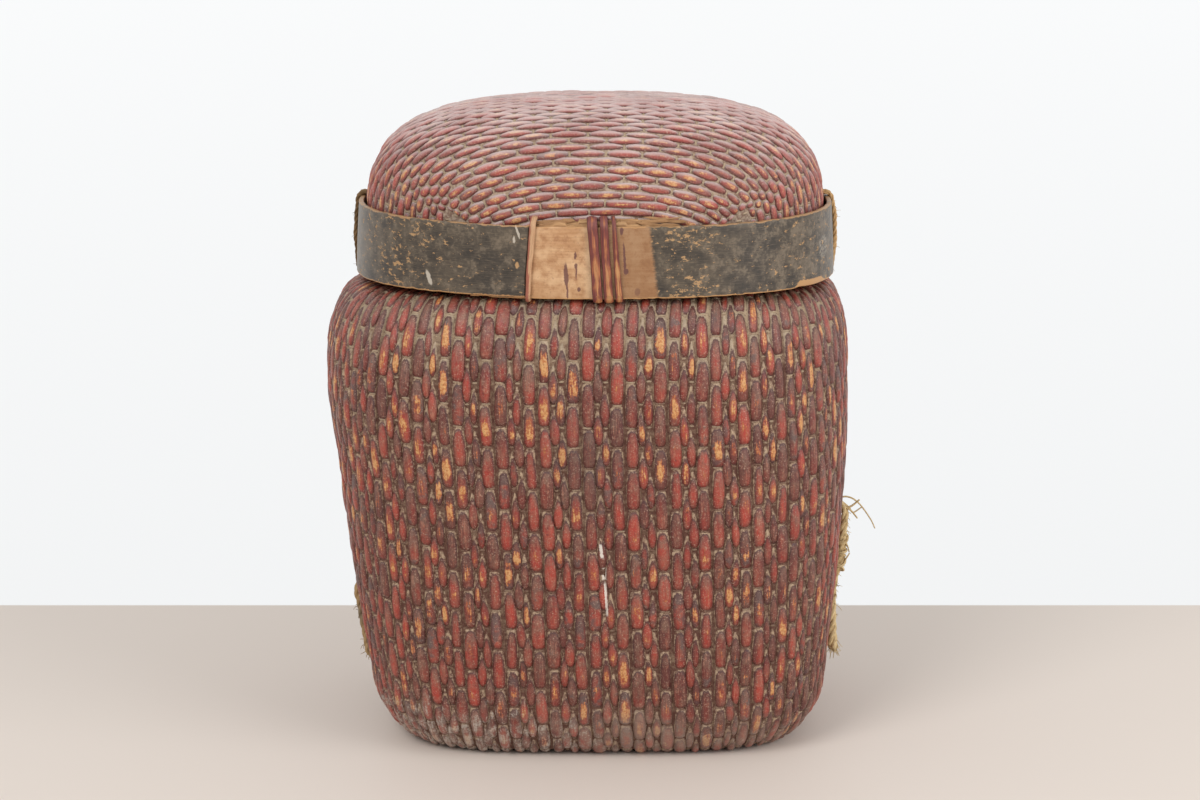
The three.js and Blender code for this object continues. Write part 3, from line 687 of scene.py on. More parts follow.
def domeField(points):
    # 0 on the lid's outer face, and the way it grows
    halfWidth = shape["lidHalfWidth"]
    halfDepth = halfWidth - shape["depthShort"]
    power, rise = shape["mouthPower"], shape["domePower"]
    springs, height = domeHeights()
    across = (points[:, 0] - shape["mouthShift"]) / halfWidth
    back = points[:, 1] / halfDepth
    up = np.maximum(points[:, 2] - springs, 0) / height
    plan = np.maximum(np.abs(across) ** power + np.abs(back) ** power, 1e-12)
    value = plan ** (rise / power) + up ** rise - 1
    share = rise * plan ** (rise / power - 1)
    slope = np.stack([share * np.abs(across) ** (power - 1) * np.sign(across) / halfWidth,
                      share * np.abs(back) ** (power - 1) * np.sign(back) / halfDepth,
                      rise * up ** (rise - 1) / height], axis=1)
    return value, slope


def ontoDome(points):
    for _ in range(3):
        value, slope = domeField(points)
        points = points - slope * (value / np.maximum((slope ** 2).sum(axis=1), 1e-12))[:, None]
    return points


def flattenRight(points):
    # the right side of the lid is a little flatter than the left
    across = np.maximum(points[..., :1], 0) / shape["lidHalfWidth"]
    return points * np.where(np.arange(3) == 0, 1 - lidWeave["flatter"] * across ** 2, 1)


def lidGrid():
    # the middle arch from side to side, and the straightest lines that leave it towards front and back
    springs, height = domeHeights()
    arch = rounding((0, 0), (shape["lidHalfWidth"], -height), shape["domePower"], 200)
    arch = np.concatenate([arch, [(shape["lidHalfWidth"], shape["lidBottom"] - springs - height)]])
    walked = walk(arch)
    rows = np.arange(-walked[-1], walked[-1], lidWeave["step"])
    side = np.interp(np.abs(rows), walked, arch[:, 0]) * np.sign(rows)
    top = springs + height + np.interp(np.abs(rows), walked, arch[:, 1])
    start = ontoDome(np.stack([side + shape["mouthShift"], 0 * rows, top], axis=1))
    heading = np.tile([0.0, -1.0, 0.0], (len(rows), 1))
    quarters = np.arange(4 * lidWeave["rodsEachWay"] + 1) / 4
    reach = lidWeave["pitch"] * quarters - lidWeave["pitchShrink"] * quarters ** 2
    lines = [start]
    points = start
    for stride in np.diff(reach):
        steps = math.ceil(stride / lidWeave["march"])
        for _ in range(steps):
            points = ontoDome(points + heading * (stride / steps))
            slope = unit(domeField(points)[1])
            heading = unit(heading - slope * (heading * slope).sum(axis=1, keepdims=True))
        lines.append(points)
    front = np.stack(lines, axis=1)
    back = front[:, :0:-1] * np.array([1, -1, 1])
    points = flattenRight(np.concatenate([back, front], axis=1))
    across = np.gradient(points, axis=1)
    closeness = np.linalg.norm(np.gradient(points, axis=0), axis=2) / lidWeave["step"]
    valid = (points[..., 2] > shape["lidBottom"] + lidWeave["edge"]) & (closeness > lidWeave["closest"])
    apart = np.gradient(np.concatenate([reach[:0:-1] * -1, reach])) * 4
    room = np.repeat((apart / lidWeave["pitch"])[None], len(rows), 0)
    return finishGrid(points, across, lidWeave["step"], room, valid)


def domeGrid():
    # level rings of the dome, from its lower edge to its top
    springs, height = domeHeights()
    curve = rounding((0, -height), (1, 0), shape["domePower"], 400)[::-1]
    curve = np.stack([curve[:, 0], -curve[:, 1]], axis=1)
    halfWidth = shape["lidHalfWidth"]
    line = np.concatenate([[(1, shape["lidBottom"] + lidWeave["edge"] - springs)], curve])
    walked = walk(line * [halfWidth, 1])
    rows = np.arange(0, walked[-1] - lidWeave["fillStep"], lidWeave["fillStep"])
    share = np.interp(rows, walked, line[:, 0])
    z = springs + np.interp(rows, walked, line[:, 1])
    angles = wholeTurn(lidWeave["fillColumns"])
    _, halfDepth, power, middle = lidLevel(halfWidth)
    level = (halfWidth * share, halfDepth * share, 0 * share + power, 0 * share + middle)
    rings = planRing(level, angles)
    points = flattenRight(np.concatenate([rings, np.repeat(z[:, None, None], len(angles), 1)], axis=2))
    across = np.roll(points, -1, axis=1) - np.roll(points, 1, axis=1)
    whole = np.ones(points.shape[:2], bool)
    return finishGrid(points, across, lidWeave["fillStep"], whole * 1.0, whole)


def spanAround(keep, middle):
    # first and last place of the unbroken run of kept places round the middle
    if not keep[middle]:
        return None
    low = middle
    while low > 0 and keep[low - 1]:
        low -= 1
    high = middle
    while high < len(keep) - 1 and keep[high + 1]:
        high += 1
    return low, high


def weaveLid(materials):
    chance = np.random.default_rng(23)
    grid = lidGrid()
    dome = domeGrid()
    each = lidWeave["rodsEachWay"]
    rods = 2 * each + 1
    rows = len(grid["points"])
    middleRow = rows // 2
    middlePlace = middleRow * grid["step"]
    reachOut = int(middlePlace / lidWeave["cordSpacing"]) + 2
    cords = np.arange(-reachOut, reachOut + 1)
    heights = seamRows(chance, cords + 0.5, rods, middlePlace, lidWeave)
    look = lidWeave["rod"]
    for name, rodRange in {"front": range(each, rods), "back": range(0, each)}.items():
        weave = Work()
        for i, j in enumerate(rodRange):
            span = spanAround(grid["valid"][:, 4 * j], middleRow)
            if span is None or span[1] - span[0] < lidWeave["shortestRod"]:
                continue
            low, high = span[0] * grid["step"], span[1] * grid["step"]
            seams = heights[(cords + j) % 2 == 1, j]
            upSide = 1 if name == "back" else -1
            square = np.interp(grid["points"][middleRow, 4 * j, 2], lidWeave["squareBelow"], (1, 0))
            taper = look["taper"] * (1 - lidWeave["squareTaper"] * square)
            sharpness = look["sharpness"] + lidWeave["squareSharpness"] * square
            rowLook = {**look, "taper": taper, "sharpness": sharpness}
            box = rodBox(i, len(rodRange) + 1)
            addRod(weave, grid, 4 * j, seams, low, high, rowLook, chance, box, j, upSide)
        first, last = 4 * rodRange[0], 4 * rodRange[-1]
        columns = np.arange(max(first - 2, 0), last + 1)
        middle = 0 if name == "front" else len(columns) - 1
        addCords(weave, grid, cords, heights, columns, middle, look, lidWeave["cordRadius"])
        half = lidWeave["fillColumns"] // 2
        begin = 0 if name == "front" else half
        fillRows = np.arange(len(dome["points"]) - 1) * dome["step"]
        addFill(weave, dome, fillRows, np.arange(begin, begin + half + 1), lidWeave, chance)
        piece = weave.build("lid_weave_" + name, materials, "lid")
        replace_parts(piece, "lid_weave")


def cordDepths(columns, cord, lookOf):
    # twine lies over a rod at its seam, behind the next one, and slants between them
    def depthAt(j):
        look = lookOf(j)
        if (cord + j) % 2 == 1:
            return look["crown"] + look["dip"] - twine["lift"]
        return look["crown"] + 2 * look["halfThick"] + twine["lift"]
    whole = np.floor(columns / 4).astype(int)
    part = columns / 4 - whole
    ease = part * part * (3 - 2 * part)
    low = np.array([depthAt(j) for j in whole])
    high = np.array([depthAt(j + 1) for j in whole])
    return low + (high - low) * ease


def addCords(weave, grid, cords, heights, columns, middle, look, radius):
    # the twines of a weave that has ends, each as far as the rods it holds
    last = (len(grid["points"]) - 1) * grid["step"]
    for k, cord in enumerate(cords):
        row = np.interp(columns / 4, np.arange(heights.shape[1]), heights[k])
        if row.min() < 1 or row.max() > last - 1:
            continue
        span = spanAround(grid["valid"][(row / grid["step"]).astype(int), columns], middle)
        if span is None or span[1] - span[0] < twine["shortest"]:
            continue
        part = slice(span[0], span[1] + 1)
        depths = cordDepths(columns[part], cord, lambda j: look)
        addCord(weave, grid, columns[part], row[part], depths, radius, cordBox(k, len(cords)), cord)


baseWeave = {"halfWidth": 131, "rodSpacing": 7.3, "grid": 2.0, "halfAcross": 3.7, "room": 0.98,
             "cordsEachWay": 8, "slowWander": 0.9, "quickWander": 0.4}


def weaveBase(materials):
    # the rods under the base run from front to back
    chance = np.random.default_rng(17)
    halfWidth = baseWeave["halfWidth"]
    halfDepth = halfWidth - shape["depthShort"]
    pitch = baseWeave["rodSpacing"]
    each = int(halfWidth / pitch)
    x = -np.arange(-4 * each, 4 * each + 1) * pitch / 4
    y = np.arange(-halfDepth, halfDepth + baseWeave["grid"], baseWeave["grid"])
    points = np.stack(np.broadcast_arrays(x[None, :], y[:, None], 0.0), axis=-1)
    power = shape["basePower"]
    valid = np.abs(points[..., 0] / halfWidth) ** power + np.abs(points[..., 1] / halfDepth) ** power < 1
    across = np.zeros(points.shape) - [1.0, 0, 0]
    grid = finishGrid(points, across, baseWeave["grid"], np.full(valid.shape, baseWeave["room"]), valid)
    weave = Work()
    rods = 2 * each + 1
    rows = len(y)
    middle = rows // 2
    cords = np.arange(-baseWeave["cordsEachWay"], baseWeave["cordsEachWay"] + 1)
    heights = seamRows(chance, cords + 0.5, rods, middle * grid["step"], {**bodyWeave, **baseWeave})
    for j in range(rods):
        span = spanAround(valid[:, 4 * j], middle)
        if span is None:
            continue
        seams = heights[(cords + j) % 2 == 1, j]
        low, high = span[0] * grid["step"], span[1] * grid["step"]
        look = bodyWeave["wide"] if j % 4 < 2 else bodyWeave["narrow"]
        look = {**look, "halfAcross": baseWeave["halfAcross"]}
        addRod(weave, grid, 4 * j, seams, low, high, look, chance, rodBox(j, rods), j)
    columns = np.arange(valid.shape[1])
    wide = bodyWeave["wide"]
    addCords(weave, grid, cords, heights, columns, len(columns) // 2, wide, bodyWeave["cordRadius"])
    addFill(weave, grid, np.arange(rows - 1) * grid["step"], columns[::2], bodyWeave, chance)
    piece = weave.build("body_weave_base", materials, "basket")
    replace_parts(piece, "body_weave")


def lacquerFinish():
    look = Finish("lacqueredRods")
    x, y, z = look.millimetres()
    crown = look.attribute("crown")
    depth = look.attribute("depth")
    luck = look.attribute("luck")
    inside = look.attribute("inside")
    rise = look.attribute("rise")
    up = look.axes(look.node("ShaderNodeTexCoord", {}, {}, 1))[2]
    specks = look.spots(0.0016, 3, 0.6)
    grit = look.spots(0.0034, 3, 0.7)
    blotches = look.spots(0.007, 2)
    clouds = look.spots(0.045, 2)
    streaks = look.fibres(0.09, 1.1, 3, 0.6)
    tone = look.fibres(0.03, 0.2, 2)
    front = y.fade(20, -60)
    onLid = z.fade(352, 372)
    # lacquer, with painted shading along each bead that makes it darker and greyer towards its upper side,
    # and duller in streaks and blotches and across the shoulder
    other, third = luck.scatter(7.13), luck.scatter(13.7)
    bright = (third * 0.6 + tone * 0.7 + clouds * 0.6 - 0.6 - rise * 0.12).fade(0.05, 0.65)
    red = look.between(bright, (94, 38, 32), (168, 54, 40))
    red = look.over(red, onLid * 0.5, 168, 70, 62)
    dull = rise * 0.5 + 0.24 + (streaks - 0.5) * 1.8 + (blotches - 0.5) * 1.4
    dull = (dull + (other - 0.5) * 0.5 + z.near(325, 45) * 0.2).fade(0.0, 1.0)
    red = look.over(red, dull * 0.85, 112, 81, 71)
    film = (blotches * 0.5 + specks * 0.5 + clouds * 0.3).fade(0.5, 0.85)
    red = look.over(red, film * (0.5 - onLid * 0.25), 134, 106, 85)
    scuffs = (streaks * 0.7 + grit * 0.5).fade(0.62, 0.76)
    red = look.over(red, scuffs * 0.5, 184, 120, 96)
    mottle = (specks * 0.3 + grit * 0.5 + streaks * 0.3).fade(0.5, 0.4)
    red = look.over(red, mottle * (0.6 - onLid * 0.3), 72, 44, 40)
    cold = (other + (rise * 0.25) * (third * 2 - 1) + (blotches - 0.5) * 1.3).fade(0.86, 1.06)
    red = look.over(red, cold * (0.6 - onLid * 0.3), 76, 70, 72)
    # painted shade: the lacquer darkens down each bead's sides and ends, the further they sink below the
    # crown
    red = look.over(red, depth.fade(0.2, 1.5) * 0.6, 78, 32, 29)
    # worn through to the wood on the crowns
    patches = clouds * 0.9 + z.near(290, 240) * front * 0.1 + onLid * 0.56 - z.near(338, 40) * 0.2
    patches = patches + luck * (1.3 - onLid * 0.8)
    wearing = crown * 2.2 + rise.near(-0.25, 1.1) * 0.3 + (streaks - 0.5) * 1.3 + patches
    wearing = wearing + (specks - 0.5) * 0.9 + (blotches - 0.5) * 1.4 + onLid * 0.26
    worn = look.over(red, wearing.fade(3.68, 3.88), 160, 76, 44)
    wood = look.between(specks.fade(0.35, 0.6) * wearing.fade(3.8, 4.2), (182, 114, 60), (214, 165, 106))
    worn = look.mix(wearing.fade(3.82, 4.0) * (streaks * 0.5 + 0.6), worn, wood)
    # dust in the hollows, pale at the shoulder and on the lid, brown lower down, with painted shade along its
    # edge
    pale = (z.fade(262, 335) + (clouds - 0.5) * 1.0 + (rise * 0.2)).fade(0.15, 0.9)
    dirt = look.between((grit * 0.7 + specks * 0.3).fade(0.4, 0.6), (94, 60, 48), (184, 160, 132))
    dirt = look.over(dirt, pale * 0.7, 182, 166, 142)
    lidDirt = look.between((grit * 0.7 + specks * 0.3).fade(0.38, 0.6), (130, 104, 86), (192, 174, 150))
    dirt = look.mix(onLid * 0.9, dirt, lidDirt)
    dustAndShade = depth * 0.46 + up.larger(0) * 0.1 + specks * 0.5 + clouds * 0.4 + rise * 0.2 - 0.43
    dustAndShade = dustAndShade + onLid * (x.fade(60, 170) + x.fade(-60, -170)) * 0.1
    # painted shade: a dark rim where each bead's side drops into the dusty hollow
    worn = look.over(worn, dustAndShade.near(0.8, 0.24) * 0.75, 64, 34, 32)
    dusty = dustAndShade.fade(0.82, 1.04)
    colour = look.mix(dusty * 0.9, worn, dirt)
    # fine pale and dark flecks everywhere
    flecks = look.spots(0.0011, 2, 0.7)
    colour = look.over(colour, flecks.fade(0.56, 0.7) * 0.5, 200, 174, 150)
    colour = look.over(colour, flecks.fade(0.42, 0.3) * 0.5, 70, 42, 34)
    colour = look.over(colour, rise.fade(0.45, 1.0) * onLid * 0.5, 136, 120, 118)
    # the top of the lid has gone grey, and the foot is chalky
    grey = (up.fade(0.2, 0.95) * 0.55 + 0.05) * onLid * (1 + (clouds - 0.5) * 1.2 + (streaks - 0.5) * 1.2)
    colour = look.over(colour, grey.smaller(0.8), 221, 203, 199)
    foot = z.fade(78, 14) * (clouds * 0.9 + blotches * 0.7 - 0.25 - x.fade(-60, 120) * 0.15)
    colour = look.over(colour, foot.fade(0.15, 0.75) * 0.6, 150, 128, 114)
    chalk = (streaks * 0.4 + blotches * 0.3 + specks * 0.4 + z.fade(60, 10) * 0.12 - x.fade(-90, 60) * 0.1)
    colour = look.over(colour, chalk.fade(0.62, 0.74) * front * z.fade(75, 40) * 0.6, 196, 186, 174)
    smudge = x.near(-8, 55) * z.near(235, 85) * front * (clouds * 1.6 - 0.35)
    colour = look.over(colour, smudge.fade(0, 1) * 0.5, 66, 56, 56)
    # two runs of white paint
    wobble = (specks - 0.5) * 2.4
    run = (x + wobble + (z - 164) * 0.12).near(0.4, 1.7).smaller(z.near(164, 8))
    run = run.larger((x + wobble).near(2.4, 2.2).smaller(z.near(147, 7)))
    run = run.larger((x + wobble * 0.6 + (z - 128) * 0.06).near(3.8, 1.3).smaller(z.near(128, 20)))
    run = run.larger(specks.fade(0.77, 0.79) * luck.fade(0.3, 0.8))
    colour = look.over(colour, run.fade(0.2, 0.45) * front * 0.85, 226, 218, 206)
    bare = look.between(streaks, (150, 112, 72), (196, 160, 112))
    colour = look.mix(inside, colour, bare)
    height = streaks * 0.6 + specks * 0.8 + blotches * 0.5
    rough = dusty * 0.35 + dull * 0.15 + 0.38
    return look.done(colour, rough, look.bump(height, 0.0007, 0.8))


def twineFinish():
    look = Finish("twine")
    grain = look.attribute("grain", 1)
    inside = look.attribute("inside")
    z = look.millimetres()[2]
    specks = look.spots(0.0012, 2)
    clouds = look.spots(0.03, 2)
    light = (clouds * 0.9 + specks * 0.6 + z.fade(180, 340) * 0.35).fade(0.65, 1.15)
    colour = look.between(light, (116, 82, 68), (182, 160, 134))
    colour = look.over(colour, inside, 170, 148, 112)
    along, around = look.axes(grain)[:2]
    ply = (along * 3.2 + around * 3.14).maths("SINE")
    return look.done(colour, 0.85, look.bump(ply * 0.5 + specks, 0.0004, 0.7))


def fillFinish():
    look = Finish("dustBetweenRods")
    specks = look.spots(0.0015, 3, 0.6)
    clouds = look.spots(0.025, 3)
    z = look.millimetres()[2]
    grit = look.spots(0.0034, 3, 0.7)
    light = (grit * 1.2 + clouds * 0.6 + z.fade(270, 345) * 0.55 - 0.75).fade(0.0, 0.8)
    colour = look.between(light, (90, 57, 46), (168, 147, 121))
    colour = look.over(colour, specks.fade(0.5, 0.35) * 0.6, 72, 42, 34)
    lidDust = look.between(grit.fade(0.38, 0.62), (128, 102, 88), (182, 162, 144))
    colour = look.mix(z.fade(352, 372) * 0.85, colour, lidDust)
    colour = look.over(colour, look.attribute("inside"), 120, 92, 66)
    return look.done(colour, 0.95, look.bump(specks, 0.0006, 0.8))


# Bent strips of the lid and the rim

# rings round a strip, how uneven its edges are, and rows of its texture
bentStrip = {"steps": 520, "wear": 0.25, "folds": 4}


def roundedSection(inside, face, low, high, round=0.8, rows=8):
    # outline of a strip's cross-section, as half widths and heights
    turn = np.linspace(0, math.pi / 2, 4)
    corners = []
    for x, z, startAngle in ((face, low, -0.5), (face, high, 0), (inside, high, 0.5), (inside, low, 1)):
        inX = x - round if x == face else x + round
        inZ = z + round if z == low else z - round
        for angle in turn + startAngle * math.pi:
            corners.append((inX + round * math.cos(angle), inZ + round * math.sin(angle)))
    upFace = [(face, low + (high - low) * i / rows) for i in range(1, rows)]
    downInside = [(inside, high - (high - low) * i / 4) for i in range(1, 4)]
    return np.array(corners[:4] + upFace + corners[4:12] + downInside + corners[12:])


def stripRings(angles, sections):
    # sections: for each angle, half widths and heights of the outline
    turned = np.repeat(angles[:, None, None], sections.shape[1], axis=1)
    plan = planRing(lidLevel(sections[..., 0]), turned)[:, :, 0]
    return np.concatenate([plan, sections[..., 1:]], axis=2)


def addClosedStrip(work, inside, face, low, high, chance):
    steps, wear = bentStrip["steps"], bentStrip["wear"]
    angles = wholeTurn(steps)
    section = roundedSection(inside, face, low, high)
    sections = np.repeat(section[None], steps, axis=0)
    ragged = wear * smoothChance(chance, (2, steps), 2)
    topness = (section[:, 1] - low) / (high - low)
    sections[..., 1] += ragged[0][:, None] * topness + ragged[1][:, None] * (1 - topness)
    rings = stripRings(angles, sections)
    addLoop(work, rings, (0, 1, 0, 1), 0, bentStrip["folds"])


def addLoop(work, rings, uvBox, kind, folds, closed=True, **marks):
    # a tube that may close on itself, its texture folded into several rows
    count, sides = rings.shape[:2]
    spans = count if closed else count - 1
    i, j = np.meshgrid(np.arange(spans), np.arange(sides), indexing="ij")
    k, n = (j + 1) % sides, (i + 1) % count
    faces = np.stack([i * sides + j, i * sides + k, n * sides + k, n * sides + j], -1).reshape(-1, 4)
    left, right, low, high = uvBox
    fold = i * folds // spans
    u = np.stack([i, i, i + 1, i + 1], -1) * folds / spans - fold[..., None]
    v = (fold[..., None] + 0.98 * np.stack([j, j + 1, j + 1, j], -1) / sides) / folds
    uvs = np.stack([left + (right - left) * u, low + (high - low) * v], -1).reshape(-1, 4, 2)
    if not closed:
        caps = endCaps(count, sides)
        faces = np.concatenate([faces, caps])
        uvs = np.concatenate([uvs, np.stack([caps * 0.0 + left, caps * 0.0 + low], -1)])
    along = walk(rings.mean(axis=1))[:, None]
    grain = np.stack(np.broadcast_arrays(along, walk(rings[0])[None, :], 0.0), -1)
    values = {name: marks.get(name, 0.0) for name in work.values}
    work.add(rings, faces, uvs, kind, values, grain)


hoop = {
    "overlapEnd": -46, "overlapSlant": 4, "overlapLength": 43, "thin": 1.0, "lip": 1.8, "run": 3, "gap": 0.3,
    "step": 1.6, "lapSteps": 30, "droop": 0.7, "topDroop": 0.6, "bevel": 0.7, "ragged": 0.2,
    "slantTurn": 0.02,
    "chips": 40, "chipWide": (1.2, 4.5), "chipDeep": (0.1, 0.6), "leanRise": 1.5,
    # how far its top leans in, and the whole strip lies in, at the left and at the right
    "leanIn": (2.6, 2.6), "liesIn": (0.0, 3.2), "leanPower": 6,
}


def frontAngle(across, halfWidth=None):
    halfWidth = halfWidth or shape["hoopFace"]
    share = (1 - abs(across / halfWidth) ** shape["mouthPower"]) ** (1 / shape["mouthPower"])
    return math.atan2(-(halfWidth - shape["depthShort"]) * share, across)


def hoopTop(angles):
    halfWidth, halfDepth, power, _ = lidLevel(shape["hoopFace"])
    point = planRing((halfWidth, halfDepth, power, 0), angles)
    sideways = np.abs(point[..., 0]) / shape["hoopFace"]
    return shape["lidBottom"] + shape["hoopHeight"] + shape["hoopRise"] * sideways ** shape["hoopRisePower"]


def makeOuterHoop(material):
    # one strip, whose right end runs on under its left end
    chance = np.random.default_rng(5)
    hidden = frontAngle(hoop["overlapEnd"] - hoop["overlapLength"])
    lip = frontAngle(hoop["overlapEnd"])
    stepOut = frontAngle(hoop["overlapEnd"] - hoop["overlapLength"] - hoop["run"])
    lean = frontAngle(hoop["overlapEnd"] - hoop["overlapSlant"]) - lip
    count = int(2 * math.pi * shape["hoopFace"] / hoop["step"])
    lap = np.linspace(hidden, lip, hoop["lapSteps"]) + 2 * math.pi
    angles = np.concatenate([np.linspace(hidden, stepOut + 2 * math.pi, count), lap])
    full = shape["hoopFace"] - shape["hoopInside"]
    part = np.clip((angles - hidden) / (lip - hidden), 0, 1)
    thick = hoop["thin"] + (full - hoop["thin"]) * part
    inside = np.full(len(angles), shape["hoopInside"])
    late = np.clip((angles - hidden - 2 * math.pi) / (lip - hidden), 0, 1)
    over = np.arange(len(angles)) >= count
    under = hoop["thin"] + (full - hoop["thin"]) * late + hoop["gap"]
    outer = full - hoop["thin"] - hoop["gap"]
    inside = np.where(over, inside + under, inside)
    thick = np.where(over, outer + (hoop["lip"] - outer) * late, thick)
    walked = angles * shape["hoopFace"]
    ragged = hoop["ragged"] * smoothChance(chance, (2, len(angles)), 4)
    for edge in (0, 1):
        for _ in range(hoop["chips"]):
            spot = chance.uniform(walked[0], walked[-1])
            wide = chance.uniform(*hoop["chipWide"])
            deep = chance.uniform(*hoop["chipDeep"])
            ragged[edge] -= deep * np.exp(-((walked - spot) / wide) ** 2)
    droop = hoop["droop"] * np.cos((angles - hidden) / 2)
    low = shape["lidBottom"] - droop - ragged[0]
    high = hoopTop(angles) - droop * hoop["topDroop"] + ragged[1]
    sections = []
    for i in range(len(angles)):
        bevel = min(hoop["bevel"], thick[i] * 0.45)
        sections.append(roundedSection(inside[i], inside[i] + thick[i], low[i], high[i], bevel, 14))
    sections = np.array(sections)
    slant = lean * np.clip((angles - lip - 2 * math.pi) / hoop["slantTurn"] + 1, 0, 1)
    rings = stripRings(angles, sections)
    heightShare = np.clip((high[:, None] - sections[..., 1]) / (high - low)[:, None], 0, 1)
    turned = angles[:, None] + slant[:, None] * heightShare
    sideways = np.cos(angles)[:, None]
    upShare = 1 - heightShare
    pull, top = (np.where(sideways > 0, hoop[name][1], hoop[name][0]) for name in ("liesIn", "leanIn"))
    pull = pull + top * upShare ** hoop["leanRise"]
    halfWidth = sections[..., 0] - pull * np.abs(sideways) ** hoop["leanPower"]
    rings[..., :2] = planRing(lidLevel(halfWidth), turned[..., None])[:, :, 0]
    work = Work()
    addLoop(work, rings, (0, 1, 0, 1), 0, 4, closed=False, luck=over[:, None] * 1.0, rise=upShare)
    piece = work.build("lid_hoop_strip", [material], "lid")
    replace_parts(piece, "lid_outer_hoop")


def standAt(angle, halfWidth):
    # a spot on the lid's edge, the ways out and along from it, and how far out other layers lie
    power = shape["mouthPower"]
    halfDepth = halfWidth - shape["depthShort"]
    x, y = planRing((halfWidth, halfDepth, power, 0), np.array([angle]))[0]
    slopeX = math.copysign(abs(x / halfWidth) ** (power - 1), x) / halfWidth
    slopeY = math.copysign(abs(y / halfDepth) ** (power - 1), y) / halfDepth
    size = math.hypot(slopeX, slopeY)
    out = np.array([slopeX / size, slopeY / size, 0])
    dual = power / (power - 1)

    def reach(half):
        return (abs(half * out[0]) ** dual + abs((half - shape["depthShort"]) * out[1]) ** dual) ** (1 / dual)

    point = np.array([x + shape["mouthShift"], y, 0])
    along = np.array([-out[1], out[0], 0])
    return {"point": point, "out": out, "along": along, "layer": lambda half: reach(half) - reach(halfWidth)}


def roundedPath(corners, radius, step=1.5):
    # closed outline with its corners rounded, as evenly spaced points
    points = []
    corners = [np.array(corner, float) for corner in corners]
    for i, corner in enumerate(corners):
        before, after = corners[i - 1], corners[(i + 1) % len(corners)]
        start = corner + unit(before - corner) * radius
        end = corner + unit(after - corner) * radius
        for t in np.linspace(0, 1, 7):
            points.append((1 - t) ** 2 * start + 2 * t * (1 - t) * corner + t ** 2 * end)
    points = np.array(points + [points[0]])
    walked = walk(points)
    places = np.linspace(0, walked[-1], int(walked[-1] / step), endpoint=False)
    return placesOn(points, walked, places)


def loopRings(stand, outline, section, lean, sway=0.0, shift=0.0):
    # a closed loop round an outline; section is across and outward offsets
    corners = [(stand["layer"](halfWidth), z) for halfWidth, z in outline]
    path = roundedPath(corners, bindings["cornerRadius"])
    toward = unit(np.roll(path, -1, axis=0) - np.roll(path, 1, axis=0))
    away = np.stack([-toward[:, 1], toward[:, 0]], axis=1)
    middle, tall = (path[:, 1].max() + path[:, 1].min()) / 2, np.ptp(path[:, 1])
    aside = shift - lean * (path[:, 1] - middle) / tall + sway
    off = path[:, None, :] + away[:, None, :] * section[..., 1:]
    beside = (aside[:, None] + section[..., 0])[..., None]
    rings = stand["point"] + stand["out"] * off[..., :1] + stand["along"] * beside
    rings[..., 2] = off[..., 1]
    return rings


def splintSection(width, thickness, count):
    # flat inside, rounded outside
    turn = np.linspace(0, math.pi, count - 3)
    outer = np.stack([-np.cos(turn) * width / 2, thickness * (0.35 + 0.65 * np.sin(turn) ** 0.7)], axis=1)
    inner = np.array([(width * 0.42, 0.05), (0, 0), (-width * 0.42, 0.05)])
    return np.concatenate([outer, inner])


bindings = {
    "thickness": 2.6, "gap": 0.6, "proud": 3, "cornerRadius": 1.6, "sides": 18,
    "uneven": {"breadth": 0.05, "thickness": 0.12, "ridges": 0.4, "sway": 0.4},
    # across, width at the top and at the bottom, how far the top leans
    "front": {"overlap_binding": (-45.6, 4.4, 3.4, -4), "front_binding_left": (-1.5, 7.2, 6.9, 4),
              "front_binding_middle": (6.1, 5.8, 6.4, 4), "front_binding_right": (13.1, 2.8, 5.0, 4)},
    "back": {"back_binding_left": (-4.5, 6, 6, 0), "back_binding_right": (4.5, 6, 6, 0)},
}


def lidOutline(angle, proud):
    top = float(hoopTop(np.array([angle]))[0])
    gap = bindings["gap"]
    low, high = shape["lidBottom"] - gap, top + proud + gap
    inside, face = lidEdge["innerInside"] - gap, shape["hoopFace"] + gap
    return [(face, low), (inside, low), (inside, high), (shape["hoopInside"], high), (face, top + gap)]


def makeSplint(name, angle, widths, lean, outline, thickness, halfWidth, body, material, chance):
    stand = standAt(angle, halfWidth)
    section = splintSection(1, thickness, bindings["sides"])
    uneven = bindings["uneven"]
    probe = loopRings(stand, outline, section[None], lean)
    count = len(probe)
    heights = probe[:, 0, 2]
    share = (heights - heights.min()) / np.ptp(heights)
    breadth = widths[1] + (widths[0] - widths[1]) * share
    breadth = breadth * (1 + uneven["breadth"] * smoothChance(chance, (count,), 6))
    sections = np.repeat(section[None], count, axis=0)
    sections[..., 0] *= breadth[:, None]
    sections[..., 1] *= (1 + uneven["thickness"] * smoothChance(chance, (count,), 3))[:, None]
    ridges = uneven["ridges"] * (chance.random(len(section)) - 0.5)
    fading = 0.8 + 0.6 * smoothChance(chance, (count,), 8)
    sections[..., 1] += np.where(section[:, 1] > 0.9, ridges, 0)[None, :] * fading[:, None]
    sway = uneven["sway"] * smoothChance(chance, (count,), 8)
    rings = loopRings(stand, outline, sections, lean, sway)
    work = Work()
    crown = 1 - np.abs(section[None, :, 0]) * 2
    addLoop(work, rings, (0, 1, 0, 1), 0, 2, crown=crown, rise=share[:, None], luck=section[None, :, 0])
    piece = work.build(name + "_splint", [material], body)
    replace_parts(piece, name)


rim = {"stripThickness": 3, "stripHeight": 24, "capHeight": 6, "splintThickness": 1.6, "splintWidth": 7,
       "splints": 8, "gap": 0.3, "splintGap": 0.6, "weave": 8, "capSteps": 480, "capWear": 0.25}


